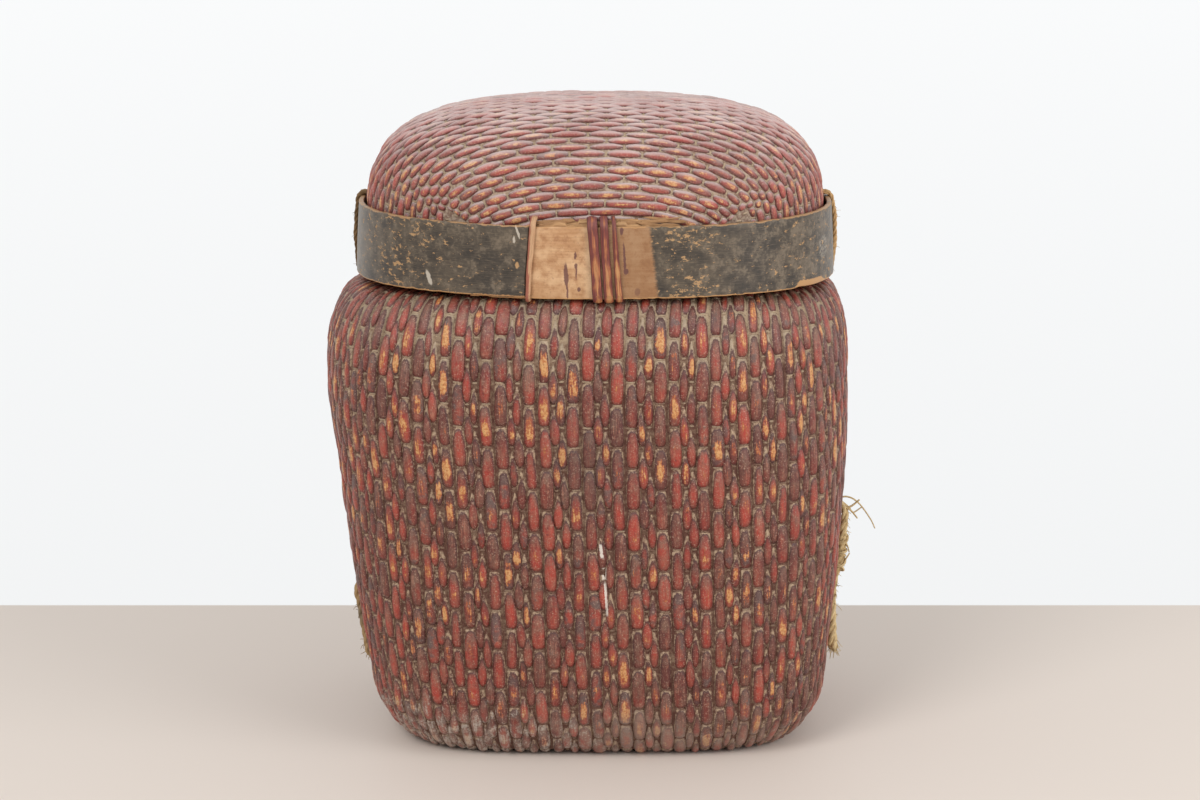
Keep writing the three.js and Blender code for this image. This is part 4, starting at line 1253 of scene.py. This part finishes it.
def makeRim(bareMaterial, splintMaterial):
    chance = np.random.default_rng(8)
    neck, top = shape["neckHalfWidth"], shape["rimTop"]
    low = top - rim["stripHeight"]
    outer, inner = neck + rim["gap"], neck - rim["weave"] - rim["gap"]
    face, inside = outer + rim["stripThickness"], inner - rim["stripThickness"]
    for name, near, far in (("rim_outer_strip", outer, face), ("rim_inner_strip", inside, inner)):
        work = Work()
        addClosedStrip(work, near, far, low, top, chance)
        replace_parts(work.build(name + "_bent", [bareMaterial], "basket"), name)
    turn = np.linspace(0, math.pi, 13)
    across = (face + inside) / 2 + (face - inside) / 2 * np.cos(turn)
    capOuter = np.stack([across, top + rim["gap"] + rim["capHeight"] * np.sin(turn) ** 0.8], axis=1)
    angles = wholeTurn(rim["capSteps"])
    sections = np.repeat(capOuter[None], len(angles), axis=0)
    wear = rim["capWear"] * smoothChance(chance, (len(angles),), 4)
    sections[..., 1] += wear[:, None] * (capOuter[:, 1] > top + 1)
    work = Work()
    addLoop(work, stripRings(angles, sections), (0, 1, 0, 1), 0, 4)
    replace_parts(work.build("rim_cap_rod_willow", [bareMaterial], "basket"), "rim_cap_rod")
    gap = rim["splintGap"]
    under, over = low - gap, top + rim["gap"] + rim["capHeight"] + gap
    outline = [(face + gap, under), (inside - gap, under), (inside - gap, over), (face + gap, over)]
    widths = (rim["splintWidth"], rim["splintWidth"])
    for number in range(rim["splints"]):
        angle = 2 * math.pi * (number + 0.5) / rim["splints"]
        makeSplint(f"rim_splint_{number + 1}", angle, widths, 0, outline, rim["splintThickness"], face,
                   "basket", splintMaterial, chance)


lidEdge = {
    "innerInside": 158.7, "innerFace": 161.7, "innerHeight": 26, "packingFace": 172.1, "packingHeight": 26,
    "packingProud": 4.6, "packingSunk": -4, "packingSeen": (44, 62), "packingReach": 66, "steps": 260,
    "layers": ((168.8, 170.2), (170.5, 172.1)), "layerDrop": 1.6, "splitEvery": 7, "split": (-3.2, 0.4),
    "slivers": 34, "sliverSpread": 20, "sliverLength": (8, 34), "sliverInside": (168.8, 171.2),
    "sliverThick": (0.4, 0.9), "sliverTall": (0.8, 2.4), "sliverSlope": 0.08,
}


def makeLidEdge(bareMaterial):
    chance = np.random.default_rng(9)
    work = Work()
    bottom = shape["lidBottom"]
    top = bottom + lidEdge["innerHeight"]
    addClosedStrip(work, lidEdge["innerInside"], lidEdge["innerFace"], bottom, top, chance)
    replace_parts(work.build("lid_inner_hoop_bent", [bareMaterial], "lid"), "lid_inner_hoop")
    reach = math.radians(lidEdge["packingReach"])
    for name, middle in (("front", -math.pi / 2), ("back", math.pi / 2)):
        work = Work()
        angles = np.linspace(middle - reach, middle + reach, lidEdge["steps"])
        aside = np.abs(np.cos(angles)) * lidEdge["packingFace"]
        stands = np.interp(aside, lidEdge["packingSeen"], (lidEdge["packingProud"], lidEdge["packingSunk"]))
        for layer, (inside, face) in enumerate(lidEdge["layers"]):
            every = lidEdge["splitEvery"]
            split = chance.uniform(*lidEdge["split"], len(angles) // every + 1)
            split = np.repeat(split, every)[:len(angles)]
            split = split + 0.5 * smoothChance(chance, (len(angles),), 1)
            high = hoopTop(angles) + stands - layer * lidEdge["layerDrop"] + split
            low = hoopTop(angles) + lidEdge["packingSunk"] - lidEdge["packingHeight"]
            sections = np.array([roundedSection(inside, face, l, h, 0.3) for l, h in zip(low, high)])
            box = (0, 1, layer / 3, layer / 3 + 0.32)
            addLoop(work, stripRings(angles, sections), box, 0, 2, closed=False)
        for number in range(lidEdge["slivers"]):
            addSliver(work, middle, number, chance)
        piece = work.build(f"lid_packing_{name}_wood", [bareMaterial], "lid")
        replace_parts(piece, "lid_packing_" + name)


def addSliver(work, middle, number, chance):
    # a split-off length of the packing, along the top of the hoop
    start = middle + (chance.random() * 2 - 1) * math.radians(lidEdge["sliverSpread"])
    length = chance.uniform(*lidEdge["sliverLength"]) / lidEdge["packingFace"]
    angles = np.linspace(start, start + length, max(int(length * 90), 6))
    inside = chance.uniform(*lidEdge["sliverInside"])
    face = inside + chance.uniform(*lidEdge["sliverThick"])
    tall = chance.uniform(*lidEdge["sliverTall"])
    slope = chance.normal() * lidEdge["sliverSlope"] * shape["hoopFace"]
    rising = chance.uniform(-2.5, lidEdge["packingProud"]) + slope * (angles - angles.mean())
    taper = np.minimum(1, 4 * np.minimum(angles - angles[0], angles[-1] - angles) / length + 0.12)
    high = hoopTop(angles) + rising + tall / 2 * taper
    sections = np.array([roundedSection(inside, face, h - t * tall, h, 0.12, 3) for h, t in zip(high, taper)])
    low = 0.7 + 0.3 * number / lidEdge["slivers"]
    box = (0, 1, low, low + 0.2 / lidEdge["slivers"])
    addLoop(work, stripRings(angles, sections), box, 0, 1, closed=False, luck=chance.random())


# Rope and twine that lies round or on the basket

def smoothLine(points, step):
    # a curve through the points, as evenly spaced points
    points = np.asarray(points, float)
    ends = np.concatenate([[2 * points[0] - points[1]], points, [2 * points[-1] - points[-2]]])
    t = np.linspace(0, 1, 12, endpoint=False)[:, None]
    pieces = []
    for a, b, c, d in zip(ends, ends[1:], ends[2:], ends[3:]):
        square, cube = 2 * a - 5 * b + 4 * c - d, 3 * b - a - 3 * c + d
        pieces.append(0.5 * (2 * b + (c - a) * t + square * t ** 2 + cube * t ** 3))
    line = np.concatenate(pieces + [points[-1:]])
    walked = walk(line)
    places = np.linspace(0, walked[-1], max(int(walked[-1] / step), 4))
    return placesOn(line, walked, places)


def framesAlong(line):
    # two ways across a line that turn with it as little as they can
    toward = unit(np.gradient(line, axis=0))
    side = np.array([0.3, 0.9, 0.3]) if abs(toward[0][1]) < 0.8 else np.array([1.0, 0.2, 0.1])
    sides = []
    for direction in toward:
        side = side - direction * (side @ direction)
        side = side / np.linalg.norm(side)
        sides.append(side)
    sides = np.array(sides)
    return sides, np.cross(toward, sides)


def tubeRings(line, radius, sides=6):
    first, second = framesAlong(line)
    turn = np.linspace(0, 2 * math.pi, sides, endpoint=False)
    radius = np.broadcast_to(radius, (len(line),))[:, None, None]
    ring = first[:, None] * np.cos(turn)[None, :, None] + second[:, None] * np.sin(turn)[None, :, None]
    return line[:, None] + ring * radius


rope = {"plies": 3, "lay": 7, "plyOut": 0.52, "plyThick": 0.56, "loose": 0.12, "uneven": 0.1}
fray = {"step": 1.6, "bend": 0.18, "wander": 0.16, "droop": 0.05, "thinEnd": 0.45}


def twist(line, radius, lay, chance, flat):
    # centre lines of the plies of a rope
    first, second = framesAlong(line)
    walked = walk(line)
    strands = []
    for ply in range(rope["plies"]):
        angle = 2 * math.pi * (ply / rope["plies"] + walked / lay)
        out = radius * (1 + rope["loose"] * smoothChance(chance, (len(line),), 3))
        sideways, upward = np.cos(angle) * out, np.sin(angle) * out * flat
        strands.append(line + first * sideways[:, None] + second * upward[:, None])
    return strands


def addRope(work, line, radius, chance, tag=0.0, flat=1.0):
    lay = np.max(radius) * rope["lay"]
    for number, strand in enumerate(twist(line, radius * rope["plyOut"], lay, chance, flat)):
        fat = radius * rope["plyThick"] * (1 + rope["uneven"] * smoothChance(chance, (len(strand),), 3))
        u = (number + tag) % 1
        work.addPlain(tubeRings(strand, fat, 8), (u * 0.9, u * 0.9 + 0.08, 0, 1), luck=chance.random())


def addFray(work, start, heading, length, chance, thick, curl=1.0):
    # one loose fibre that wanders off from where it starts
    count = max(int(length / fray["step"]), 5)
    point, heading = np.array(start, float), unit(np.array(heading, float))
    line = [point]
    bend = chance.normal(size=3) * fray["bend"] * curl - [0, 0, fray["droop"]]
    for _ in range(count):
        heading = unit(heading + bend + chance.normal(size=3) * fray["wander"] * curl)
        point = point + heading * length / count
        line.append(point)
    line = np.array(line)
    fat = thick * np.linspace(1, fray["thinEnd"], len(line))
    work.addPlain(tubeRings(line, fat, 4), (0.98, 1.0, 0, 1), luck=chance.random())


ropes = {
    "radius": 3.2, "gap": 0.5, "dive": 4.5, "bend": 9, "stations": 6,
    "left": {"side": -1, "y": -29, "top": 112, "bottom": 46, "flat": 0.5, "off": 0.35, "frays": 24,
             "seed": 31},
    "right": {"side": 1, "y": -12, "top": 168, "bottom": 52, "flat": 1.0, "off": 1, "frays": 110, "seed": 37},
    # how thick the right one is and how far it stands off the wall, by height
    "heights": (50, 62, 82, 98, 108, 120, 134, 150, 168),
    "thick": (3.9, 3.5, 3.0, 1.9, 2.0, 3.0, 3.2, 3.1, 2.6),
    "stand": (3.6, 1.2, -0.8, -1.6, -1.2, 0.8, 0.8, 0.2, 0),
    # loose ends of the right one, outward and upward from where they leave it
    "ends": ((169, ((-5, -1), (0, 0.4), (6, -1.5), (12, -7), (19, -17), (22.4, -24)), 0.62),
             (161, ((0, 0), (5, 1.5), (11, 6.5)), 0.8), (162, ((0, 0), (5, -3.5), (9.5, -9)), 0.7),
             (166, ((-3, 0), (3, -5), (6, -9), (13, -4.5)), 0.6),
             (112, ((0, 0), (4, 6), (8.4, 13.5)), 0.65),
             (131, ((-3, 1), (-1.5, 6), (2, 7), (5, 1), (6.5, -4)), 0.6)),
    "endStrands": 3, "endFrays": 40,
    "knots": (137, 133, 128, 124, 119, 115),
}


def wallPoint(side, y, z, off):
    profile = bodyProfile()
    profile = profile[1:][profile[1:, 1] < shape["ledgeHeight"]]
    halfWidth = np.interp(z, profile[:, 1], profile[:, 0])
    power = planPower(z)
    share = (1 - abs(y / (halfWidth - shape["depthShort"])) ** power) ** (1 / power)
    middle = shape["bellyShift"] * z / shape["bellyHeight"]
    return np.array([middle + side * (halfWidth * share + off), y, z])


def makeCarryRopes(material):
    for hand in ("left", "right"):
        held = ropes[hand]
        chance = np.random.default_rng(held["seed"])
        side, y, right = held["side"], held["y"], hand == "right"
        off = ropes["gap"] + ropes["radius"] * held["off"]
        points = [wallPoint(side, y, held["top"], -ropes["dive"])]
        run = held["top"] - held["bottom"] - 2 * ropes["bend"]
        for i in range(ropes["stations"] + 1):
            z = held["top"] - ropes["bend"] - run * i / ropes["stations"]
            points.append(wallPoint(side, y, z, off + right * np.interp(z, ropes["heights"], ropes["stand"])))
        last = off + ropes["stand"][0] if right else -ropes["dive"]
        points.append(wallPoint(side, y, held["bottom"], last))
        line = smoothLine(points, 1.2)
        thick = np.interp(line[:, 2], ropes["heights"], ropes["thick"]) if right else ropes["radius"]
        work = Work()
        addRope(work, line, thick, chance, flat=held["flat"])
        for _ in range(held["frays"]):
            spot = line[chance.integers(6, len(line) - 3)]
            heading = [side * chance.uniform(0.1, 0.9), chance.normal() * 0.6, chance.normal() * 1.4]
            addFray(work, spot + unit(np.array(heading)) * 2.2, heading, chance.uniform(3, 7), chance, 0.34)
        if right:
            addLooseEnds(work, line, off, chance)
        piece = work.build("carry_rope_" + hand + "_hemp", [material], "basket")
        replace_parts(piece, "carry_rope_" + hand)


def addLooseEnds(work, line, off, chance):
    y = ropes["right"]["y"]
    for z, steps, thick in ropes["ends"]:
        base = wallPoint(1, y, z, off)
        for _ in range(ropes["endStrands"]):
            apart = chance.normal(size=2) * 0.3
            points = [base + [out, apart[0] * (1 + out * 0.1), up + apart[1]] for out, up in steps]
            strand = smoothLine(points, 1.2)
            fat = thick * np.linspace(1, 0.7, len(strand))
            work.addPlain(tubeRings(strand, fat, 6), (0.9, 0.97, 0, 1), luck=chance.random())
    turn = np.linspace(0, 2 * math.pi, 22)
    for z in ropes["knots"]:
        middle = wallPoint(1, y, z, off + 0.6)
        tilt = chance.normal(size=2) * 0.5
        wide = chance.uniform(3.2, 4.3)
        across, along = wide * np.cos(turn), wide * np.sin(turn)
        loop = middle + np.stack([across, 1.1 * along, tilt[0] * across + tilt[1] * along], axis=1)
        work.addPlain(tubeRings(loop, 0.95, 6), (0.9, 0.97, 0, 1), luck=chance.random())
    for _ in range(ropes["endFrays"]):
        heading = [chance.uniform(0.0, 0.8), chance.normal() * 0.5, -1]
        start = line[-1 - chance.integers(0, 4)] + chance.normal(size=3) * 1.5
        addFray(work, start, heading, chance.uniform(4, 10), chance, 0.42, 0.8)


lashing = {
    "turns": 3, "spacing": 3.0, "radius": 1.7, "back": 8, "over": 0.6, "uneven": 0.3, "frays": 14,
    "seeds": {"left": 41, "right": 43},
    # how far out of the hoop's face the cord lies, from its lower edge to its upper one
    "left": (-1.2, 0.2, -0.9, -2.8), "right": (-4.6, -3.0, -3.6, -6.1), "heights": (0, 0.45, 0.75, 1),
}


def makeLashings(material):
    halfWidth, power = shape["hoopFace"], shape["mouthPower"]
    halfDepth = halfWidth - shape["depthShort"]
    out = halfWidth * (1 - (lashing["back"] / halfDepth) ** power) ** (1 / power)
    for hand, side in (("left", -1), ("right", 1)):
        chance = np.random.default_rng(lashing["seeds"][hand])
        angle = math.atan2(lashing["back"], side * out)
        stand = standAt(angle, halfWidth)
        work = Work()
        bottom = shape["lidBottom"] - lashing["over"]
        top = float(hoopTop(np.array([angle]))[0]) + lashing["over"]
        inside = lidEdge["innerInside"] - bindings["gap"]
        outline = [(shape["hoopFace"] + off, bottom + (top - bottom) * share)
                   for off, share in zip(lashing[hand], lashing["heights"])]
        outline = outline[:1] + [(inside, bottom), (inside, top)] + outline[:0:-1]
        for turn in range(lashing["turns"]):
            shift = (turn - (lashing["turns"] - 1) / 2) * lashing["spacing"]
            point = np.array([[[0.0, lashing["radius"] + 0.1]]])
            sway = 0.5 * smoothChance(chance, (len(loopRings(stand, outline, point, 0)),), 6)
            line = loopRings(stand, outline, point, 0, sway, shift)[:, 0]
            line = np.concatenate([line, line[:2]])
            thick = lashing["radius"] * (1 + lashing["uneven"] * smoothChance(chance, (len(line),), 3))
            addRope(work, line, thick, chance, tag=0.07 * turn)
            for _ in range(lashing["frays"]):
                spot = line[chance.integers(0, len(line))]
                heading = stand["out"] + chance.normal(size=3) * 0.7
                addFray(work, spot, heading, chance.uniform(2, 6), chance, 0.18)
        piece = work.build("lid_lashing_" + hand + "_hemp", [material], "lid")
        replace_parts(piece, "lid_lashing_" + hand)


# where they are across the front, how high, half as wide and half as tall, and how far they slant
hoopMarks = {
    "drips": ((-23.7, 358, 1.5, 8, 0.04), (-23.0, 350, 0.7, 10, 0.04), (-17.4, 371, 0.8, 2.6),
              (-16.8, 360, 0.6, 6), (-17.0, 364, 1.1, 2), (-14.9, 347.6, 1.1, 1.5),
              (16.2, 369, 0.8, 11, 0.05), (17.3, 360, 1.6, 2), (14.2, 388, 1.1, 3)),
    "scratches": ((-56.6, 387, 0.8, 4.5, 0.3), (-59.0, 382, 0.7, 2.4), (-119, 352, 1.6, 5, 0.3)),
}


def hoopFinish():
    look = Finish("oldDarkPaint")
    place = look.place()
    x, y, z = look.millimetres()
    over = look.attribute("luck")
    rise = look.attribute("rise")
    fibres = look.fibres(0.03, 0.6, 4, 0.6)
    fine = look.fibres(0.1, 2.0, 3, 0.65)
    specks = look.spots(0.0022, 3, 0.6)
    blots = look.spots(0.009, 3, 0.6)
    clouds = look.spots(0.03, 3)
    front = y.fade(-20, -40)
    # paint, with lighter streaks and dust
    paint = look.between((clouds * 0.6 + blots * 0.8 - 0.2).fade(0.3, 0.7), (48, 42, 36), (88, 77, 63))
    paint = look.over(paint, fine.fade(0.5, 0.72) * 0.6, 122, 106, 86)
    dusty = (blots * 0.6 + specks * 0.5 + x.fade(40, 170) * 0.045).fade(0.54, 0.74)
    paint = look.over(paint, dusty * 0.48, 136, 121, 103)
    # bare patch between the end of the outer strip and a soft edge at the right
    up = (z - shape["lidBottom"]) / shape["hoopHeight"]
    rightEdge = 39.2 - up * 6 + (fine - 0.5) * 5 + (specks - 0.5) * 3
    bare = (x - rightEdge).fade(1.5, -1.5) * (x + 60).fade(-0.4, 0.4) * front * (1 - over)
    wood = look.between(fibres.fade(0.3, 0.7), (172, 127, 86), (194, 150, 109))
    wood = look.over(wood, fine.fade(0.54, 0.76) * 0.35, 150, 102, 64)
    wood = look.over(wood, (blots * 0.7 + clouds * 0.5).fade(0.5, 0.76) * 0.6, 222, 186, 146)
    wood = look.over(wood, (blots * 0.6 + specks * 0.4).fade(0.5, 0.36) * 0.6, 152, 106, 72)
    wood = look.over(wood, specks.fade(0.6, 0.72) * 0.4, 126, 84, 58)
    wood = look.over(wood, up.fade(0.3, 0) * 0.35, 164, 120, 76)
    wood = look.over(wood, x.fade(6, 11) * 0.6, 122, 82, 48)
    wood = look.over(wood, x.near(-8, 5) * 0.3, 226, 196, 158)

    def mark(across, middle, halfWide, halfTall, slant=0.0):
        aside = (x + (specks - 0.5) * 1.8 + (z - middle) * slant - across) / halfWide
        above = (z + (blots - 0.5) * 3 - middle) / halfTall
        return (aside * aside + above * above).fade(1.4, 0.6)

    drips = mark(25.0, 346, 2.0, 2.6) * 0.5
    for drip in hoopMarks["drips"]:
        drips = drips.larger(mark(*drip))
    wood = look.over(wood, drips * 0.85, 92, 52, 52)
    colour = look.mix(bare, paint, wood)
    # chips, mostly right of the bare patch, and scratches
    flakes = look.noise(look.stretch(place, (1, 1, 1.9)), 0.006, 4, 0.75)
    ends = rise.fade(0.3, 0.1).larger(rise.fade(0.62, 0.8))
    cluster = x.near(60, 34) * (ends * 0.05 + 0.05) + x.near(-140, 60) * 0.06 + x.near(150, 50) * 0.03
    chips = (flakes + cluster * front).fade(0.628, 0.658)
    chips = chips.larger(mark(-57.2, 364, 1.3, 2.2)) * (1 - bare)
    colour = look.over(colour, chips * 0.8, 190, 150, 104)
    scratch = fine.fade(0.7, 0.76) * blots.fade(0.54, 0.6) * 0.7
    for line in hoopMarks["scratches"]:
        scratch = scratch.larger(mark(*line))
    scratch = scratch.larger(mark(158, 366, 3.5, 8) * front * specks.fade(0.35, 0.6) * 0.4)
    colour = look.over(colour, scratch * (1 - bare) * 0.75, 204, 194, 178)
    # painted sheen: paler grey where the hoop turns to the sides and light glances off the paint
    turned = x.near(-176, 16).larger(x.near(176, 14)) * (blots * 0.8 + 0.3)
    colour = look.over(colour, turned * (1 - chips) * 0.55, 146, 136, 124)
    # worn edges, and a broken one at the right
    broken = x.near(148, 14).fade(0, 0.4) * y.fade(-20, -40) * 3.4
    edge = (rise * shape["hoopHeight"] + (specks - 0.5) * 2 - broken).fade(1.2, 0.6)
    edge = edge.larger(((1 - rise) * shape["hoopHeight"] + (blots - 0.5) * 5).fade(0.8, 0.2) * 0.7)
    colour = look.over(colour, edge * 0.9, 192, 146, 96)
    rough = chips * 0.3 + 0.44
    return look.done(colour, rough, look.bump(fine * 0.3 + specks * 0.4 - chips * 0.4, 0.0004, 0.5))


def splintFinish():
    look = Finish("lacqueredSplints")
    crown = look.attribute("crown")
    rise = look.attribute("rise")
    fibres = look.fibres(0.05, 1.3, 4, 0.6)
    fine = look.fibres(0.12, 3.0, 3, 0.6)
    clouds = look.spots(0.011, 3)
    colour = look.between(fibres.fade(0.3, 0.7), (96, 46, 44), (142, 70, 60))
    colour = look.over(colour, (rise + (clouds - 0.5)).fade(0.7, 1.1) * 0.5, 138, 92, 90)
    aside = look.attribute("luck")
    worn = crown * 0.4 + fibres * 0.8 + clouds * 0.8 + rise.near(0.25, 0.7) * 0.25 + aside * 0.16
    colour = look.over(colour, worn.fade(1.12, 1.28), 172, 102, 64)
    colour = look.over(colour, worn.fade(1.24, 1.44) * (fine + 0.3), 204, 152, 100)
    # dark streaks along the grain, and painted shade down the splint's rounded sides
    colour = look.over(colour, (fine.fade(0.45, 0.3)).larger(crown.fade(0.24, 0.0)) * 0.6, 70, 38, 36)
    return look.done(colour, 0.55, look.bump(fibres * 0.6 + fine * 0.7, 0.0008, 1.0))


def paleSplintFinish():
    # the splint over the end of the hoop has lost its lacquer except along one edge
    look = Finish("paleSplint")
    rise = look.attribute("rise")
    aside = look.attribute("luck")
    fine = look.fibres(0.08, 2.6, 4, 0.6)
    clouds = look.spots(0.012, 3)
    colour = look.between(fine.fade(0.3, 0.7), (168, 122, 88), (212, 174, 134))
    lacquer = (aside * -1.6 + (clouds - 0.5) * 1.6 + rise.fade(0.6, 0.1) * 0.7).fade(0.2, 0.6)
    colour = look.over(colour, lacquer * 0.85, 150, 78, 62)
    return look.done(colour, 0.6, look.bump(fine, 0.0006, 0.8))


def bareFinish():
    look = Finish("bareWood")
    fibres = look.fibres(0.03, 0.8, 4, 0.6)
    clouds = look.spots(0.02, 3)
    colour = look.between(fibres.fade(0.25, 0.75), (138, 98, 62), (206, 166, 120))
    colour = look.over(colour, clouds.fade(0.5, 0.8) * 0.5, 104, 78, 58)
    return look.done(colour, 0.75, look.bump(fibres, 0.0005, 0.7))


def hempFinish():
    look = Finish("oldHemp")
    fibres = look.fibres(0.25, 0.9, 4, 0.65)
    clouds = look.spots(0.012, 3)
    x, _, z = look.millimetres()
    colour = look.between(fibres.fade(0.3, 0.7), (172, 142, 96), (230, 206, 156))
    colour = look.over(colour, clouds.fade(0.5, 0.85) * 0.4, 160, 118, 72)
    colour = look.over(colour, look.attribute("luck") * 0.35, 236, 214, 168)
    # the lashings are browner, painted shade darkens the hemp at the left, and what is left of the rope at
    # the left is grimy
    colour = look.over(colour, z.fade(300, 330) * 0.5, 186, 128, 72)
    # painted shade: all the hemp at the left darker
    colour = look.over(colour, x.fade(0, -50) * 0.6, 128, 92, 56)
    colour = look.over(colour, x.fade(0, -50) * z.near(84, 14) * 0.7, 112, 102, 86)
    # painted shade: the lashing at the left darker still
    colour = look.over(colour, x.fade(0, -50) * z.fade(300, 330) * (clouds + 0.2), 84, 64, 38)
    return look.done(colour, 0.92, look.bump(fibres, 0.0005, 1.0))


addCamera()
addAreaLight("keyLight", studio["keyPlace"], studio["keySize"], studio["keyPower"])
addAreaLight("fillLight", studio["fillPlace"], studio["fillSize"], studio["fillPower"])
lightWorld()
addFloor()
woven = [lacquerFinish(), twineFinish(), fillFinish()]
weaveBody(woven)
weaveBase(woven)
weaveLid(woven)
splintWood, paleSplintWood, bareWood, hemp = splintFinish(), paleSplintFinish(), bareFinish(), hempFinish()
makeOuterHoop(hoopFinish())
makeLidEdge(bareWood)
makeRim(bareWood, splintWood)
splintChance = np.random.default_rng(3)
for side, sign in (("front", 1), ("back", -1)):
    for name, (across, top, bottom, lean) in bindings[side].items():
        angle = sign * frontAngle(across)
        wood = paleSplintWood if name == "overlap_binding" else splintWood
        outline = lidOutline(angle, bindings["proud"])
        makeSplint(name, angle, (top, bottom), lean, outline, bindings["thickness"], shape["hoopFace"],
                   "lid", wood, splintChance)
makeLashings(hemp)
makeCarryRopes(hemp)
bpy.context.scene.view_settings.view_transform = "Standard"

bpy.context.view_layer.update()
